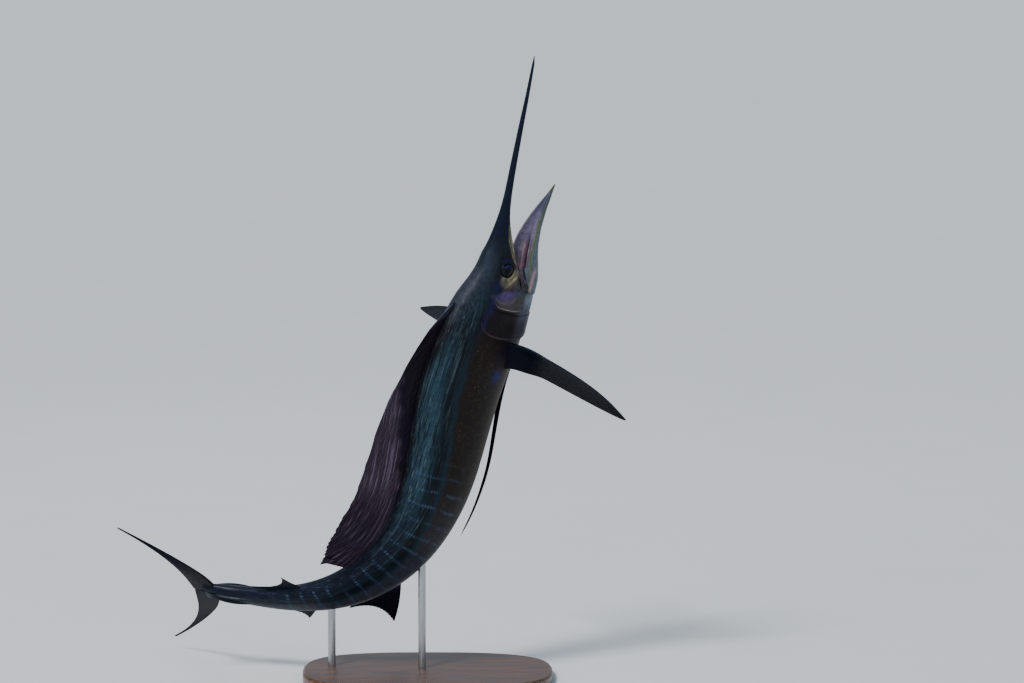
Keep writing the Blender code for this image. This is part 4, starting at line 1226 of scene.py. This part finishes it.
def make_tail_lobe(material, name, side):
    u, v, ray = ray_grid(TAIL_RAYS, 80, 0.2)
    lead_s = TAIL_ROOT_S + (TAIL_TIP_S - TAIL_ROOT_S) * v ** 1.35
    lead_d = TAIL_ROOT_D + (TAIL_TIP_D - TAIL_ROOT_D) * v
    trail_s = TAIL_NOTCH_S + (TAIL_TIP_S + 0.004 - TAIL_NOTCH_S) * v ** 2.2
    trail_d = 0.0004 + (TAIL_TIP_D - 0.004) * v
    inner_s = 1.765 + 0.07 * u
    inner_d = 0.008 * (1 - u) + 0.0004
    spread = np.sin(0.5 * math.pi * np.minimum(v * 4, 1))
    s = inner_s + (lead_s + (trail_s - lead_s) * u - inner_s) * spread
    d = inner_d + (lead_d + (trail_d - lead_d) * u - inner_d) * spread
    thick = thinning(v, ray, 0.008, 0.0064, 0.0012) * (0.45 + 0.55 * before(u, 1, 0.6))
    thick += 0.002 * bell(u / 0.1) * (1 - 0.6 * v)
    tint = painted(rgb(16, 20, 34), (7, 8, 14, ray * 0.6), (54, 48, 46, near(v, 0.25, 0.16) * 0.35))
    bow = 0.004 * arch(v) * u
    fin_piece(name + "_blade", [name], material, place_grid(s, side * d, bow), thick,
              tint, 0.35, ray_places(u, v, TAIL_RAYS, 3))


def make_fins():
    sail_skin = fin_material("sail_membrane", 0.1, (122, 106, 128), 0.95)
    fin_skin = fin_material("fin_membrane", 0.05, (36, 46, 62), 0.35)
    make_sail(sail_skin)
    for values in MIDLINE_FINS:
        make_midline_fin(fin_skin, *values)
    for values in PECTORAL_SPANS:
        make_pectoral(fin_skin, *values)
    for name, side in (("pelvic_fin_right", 1), ("pelvic_fin_left", -1)):
        make_pelvic(fin_skin, name, side)
    for name, side in (("tail_fin_upper", 1), ("tail_fin_lower", -1)):
        make_tail_lobe(fin_skin, name, side)


def dress_stand():
    wood = wood_material()
    steel = steel_material()
    for name, material in (("stand_base", wood), ("stand_rod_front", steel), ("stand_rod_rear", steel)):
        frame["nodes"][name].material_slots[0].material = material


# Floor, light and camera

def make_floor():
    mesh = bpy.data.meshes.new("floor")
    angles = np.linspace(0, 2 * math.pi, FLOOR_CORNERS, endpoint=False)
    rim = stacked(FLOOR_RADIUS * np.cos(angles), FLOOR_RADIUS * np.sin(angles), FLOOR_LEVEL)
    mesh.from_pydata(rim.tolist(), [], [list(range(FLOOR_CORNERS))])
    floor = new_object("floor", mesh)
    look = Look("floor_paper")
    paper = look.noise(look.node("TexCoord").outputs["Object"], 3)
    look.shade(Base_Color=look.mix(paper, (214, 218, 222), (220, 223, 226)), Roughness=0.75)
    mesh.materials.append(look.material)


def add_light(name, kind, power, colour, turn):
    lamp = bpy.data.lights.new(name, kind)
    lamp.energy = power
    lamp.color = colour
    obj = new_object(name, lamp)
    obj.rotation_euler = turn.to_euler()
    return obj


def make_light():
    world = bpy.data.worlds.new("studio")
    world.use_nodes = True
    background = world.node_tree.nodes["Background"]
    background.inputs["Color"].default_value = SKY_COLOUR
    background.inputs["Strength"].default_value = SKY_STRENGTH
    bpy.context.scene.world = world
    sun = add_light("sun", "SUN", SUN_POWER, SUN_COLOUR, SUN_FROM.to_track_quat("Z", "Y"))
    sun.data.angle = SUN_SPREAD
    for name, spot_at, aim, size, power, colour in LAMPS:
        way = Vector(aim) - Vector(spot_at)
        light = add_light(name, "AREA", power, colour, way.to_track_quat("-Z", "Y"))
        light.location = spot_at
        light.data.shape = "DISK"
        light.data.size = size


def make_camera():
    up = np.array([0, math.sin(CAMERA_RISE), math.cos(CAMERA_RISE)])
    forward = np.array([0, math.cos(CAMERA_RISE), -math.sin(CAMERA_RISE)])
    target = EYE_POINT - np.array([EYE_RIGHT_OF_CENTRE * PIXEL, 0, 0]) - up * EYE_ABOVE_CENTRE * PIXEL
    lens = bpy.data.cameras.new("camera")
    lens.sensor_fit = "HORIZONTAL"
    lens.sensor_width = SENSOR
    lens.lens = SENSOR * CAMERA_RANGE / (PIXEL * IMAGE_WIDTH)
    lens.clip_end = CAMERA_REACH
    camera = new_object("camera", lens)
    camera.location = target - forward * CAMERA_RANGE
    camera.rotation_euler = (math.pi / 2 - CAMERA_RISE, 0, 0)
    bpy.context.scene.camera = camera


make_skin()
EYE_LOOK = eye_material()
make_eye("eye_right", 1, EYE_LOOK)
make_eye("eye_left", -1, EYE_LOOK)
make_fins()
dress_stand()
make_floor()
make_light()
make_camera()
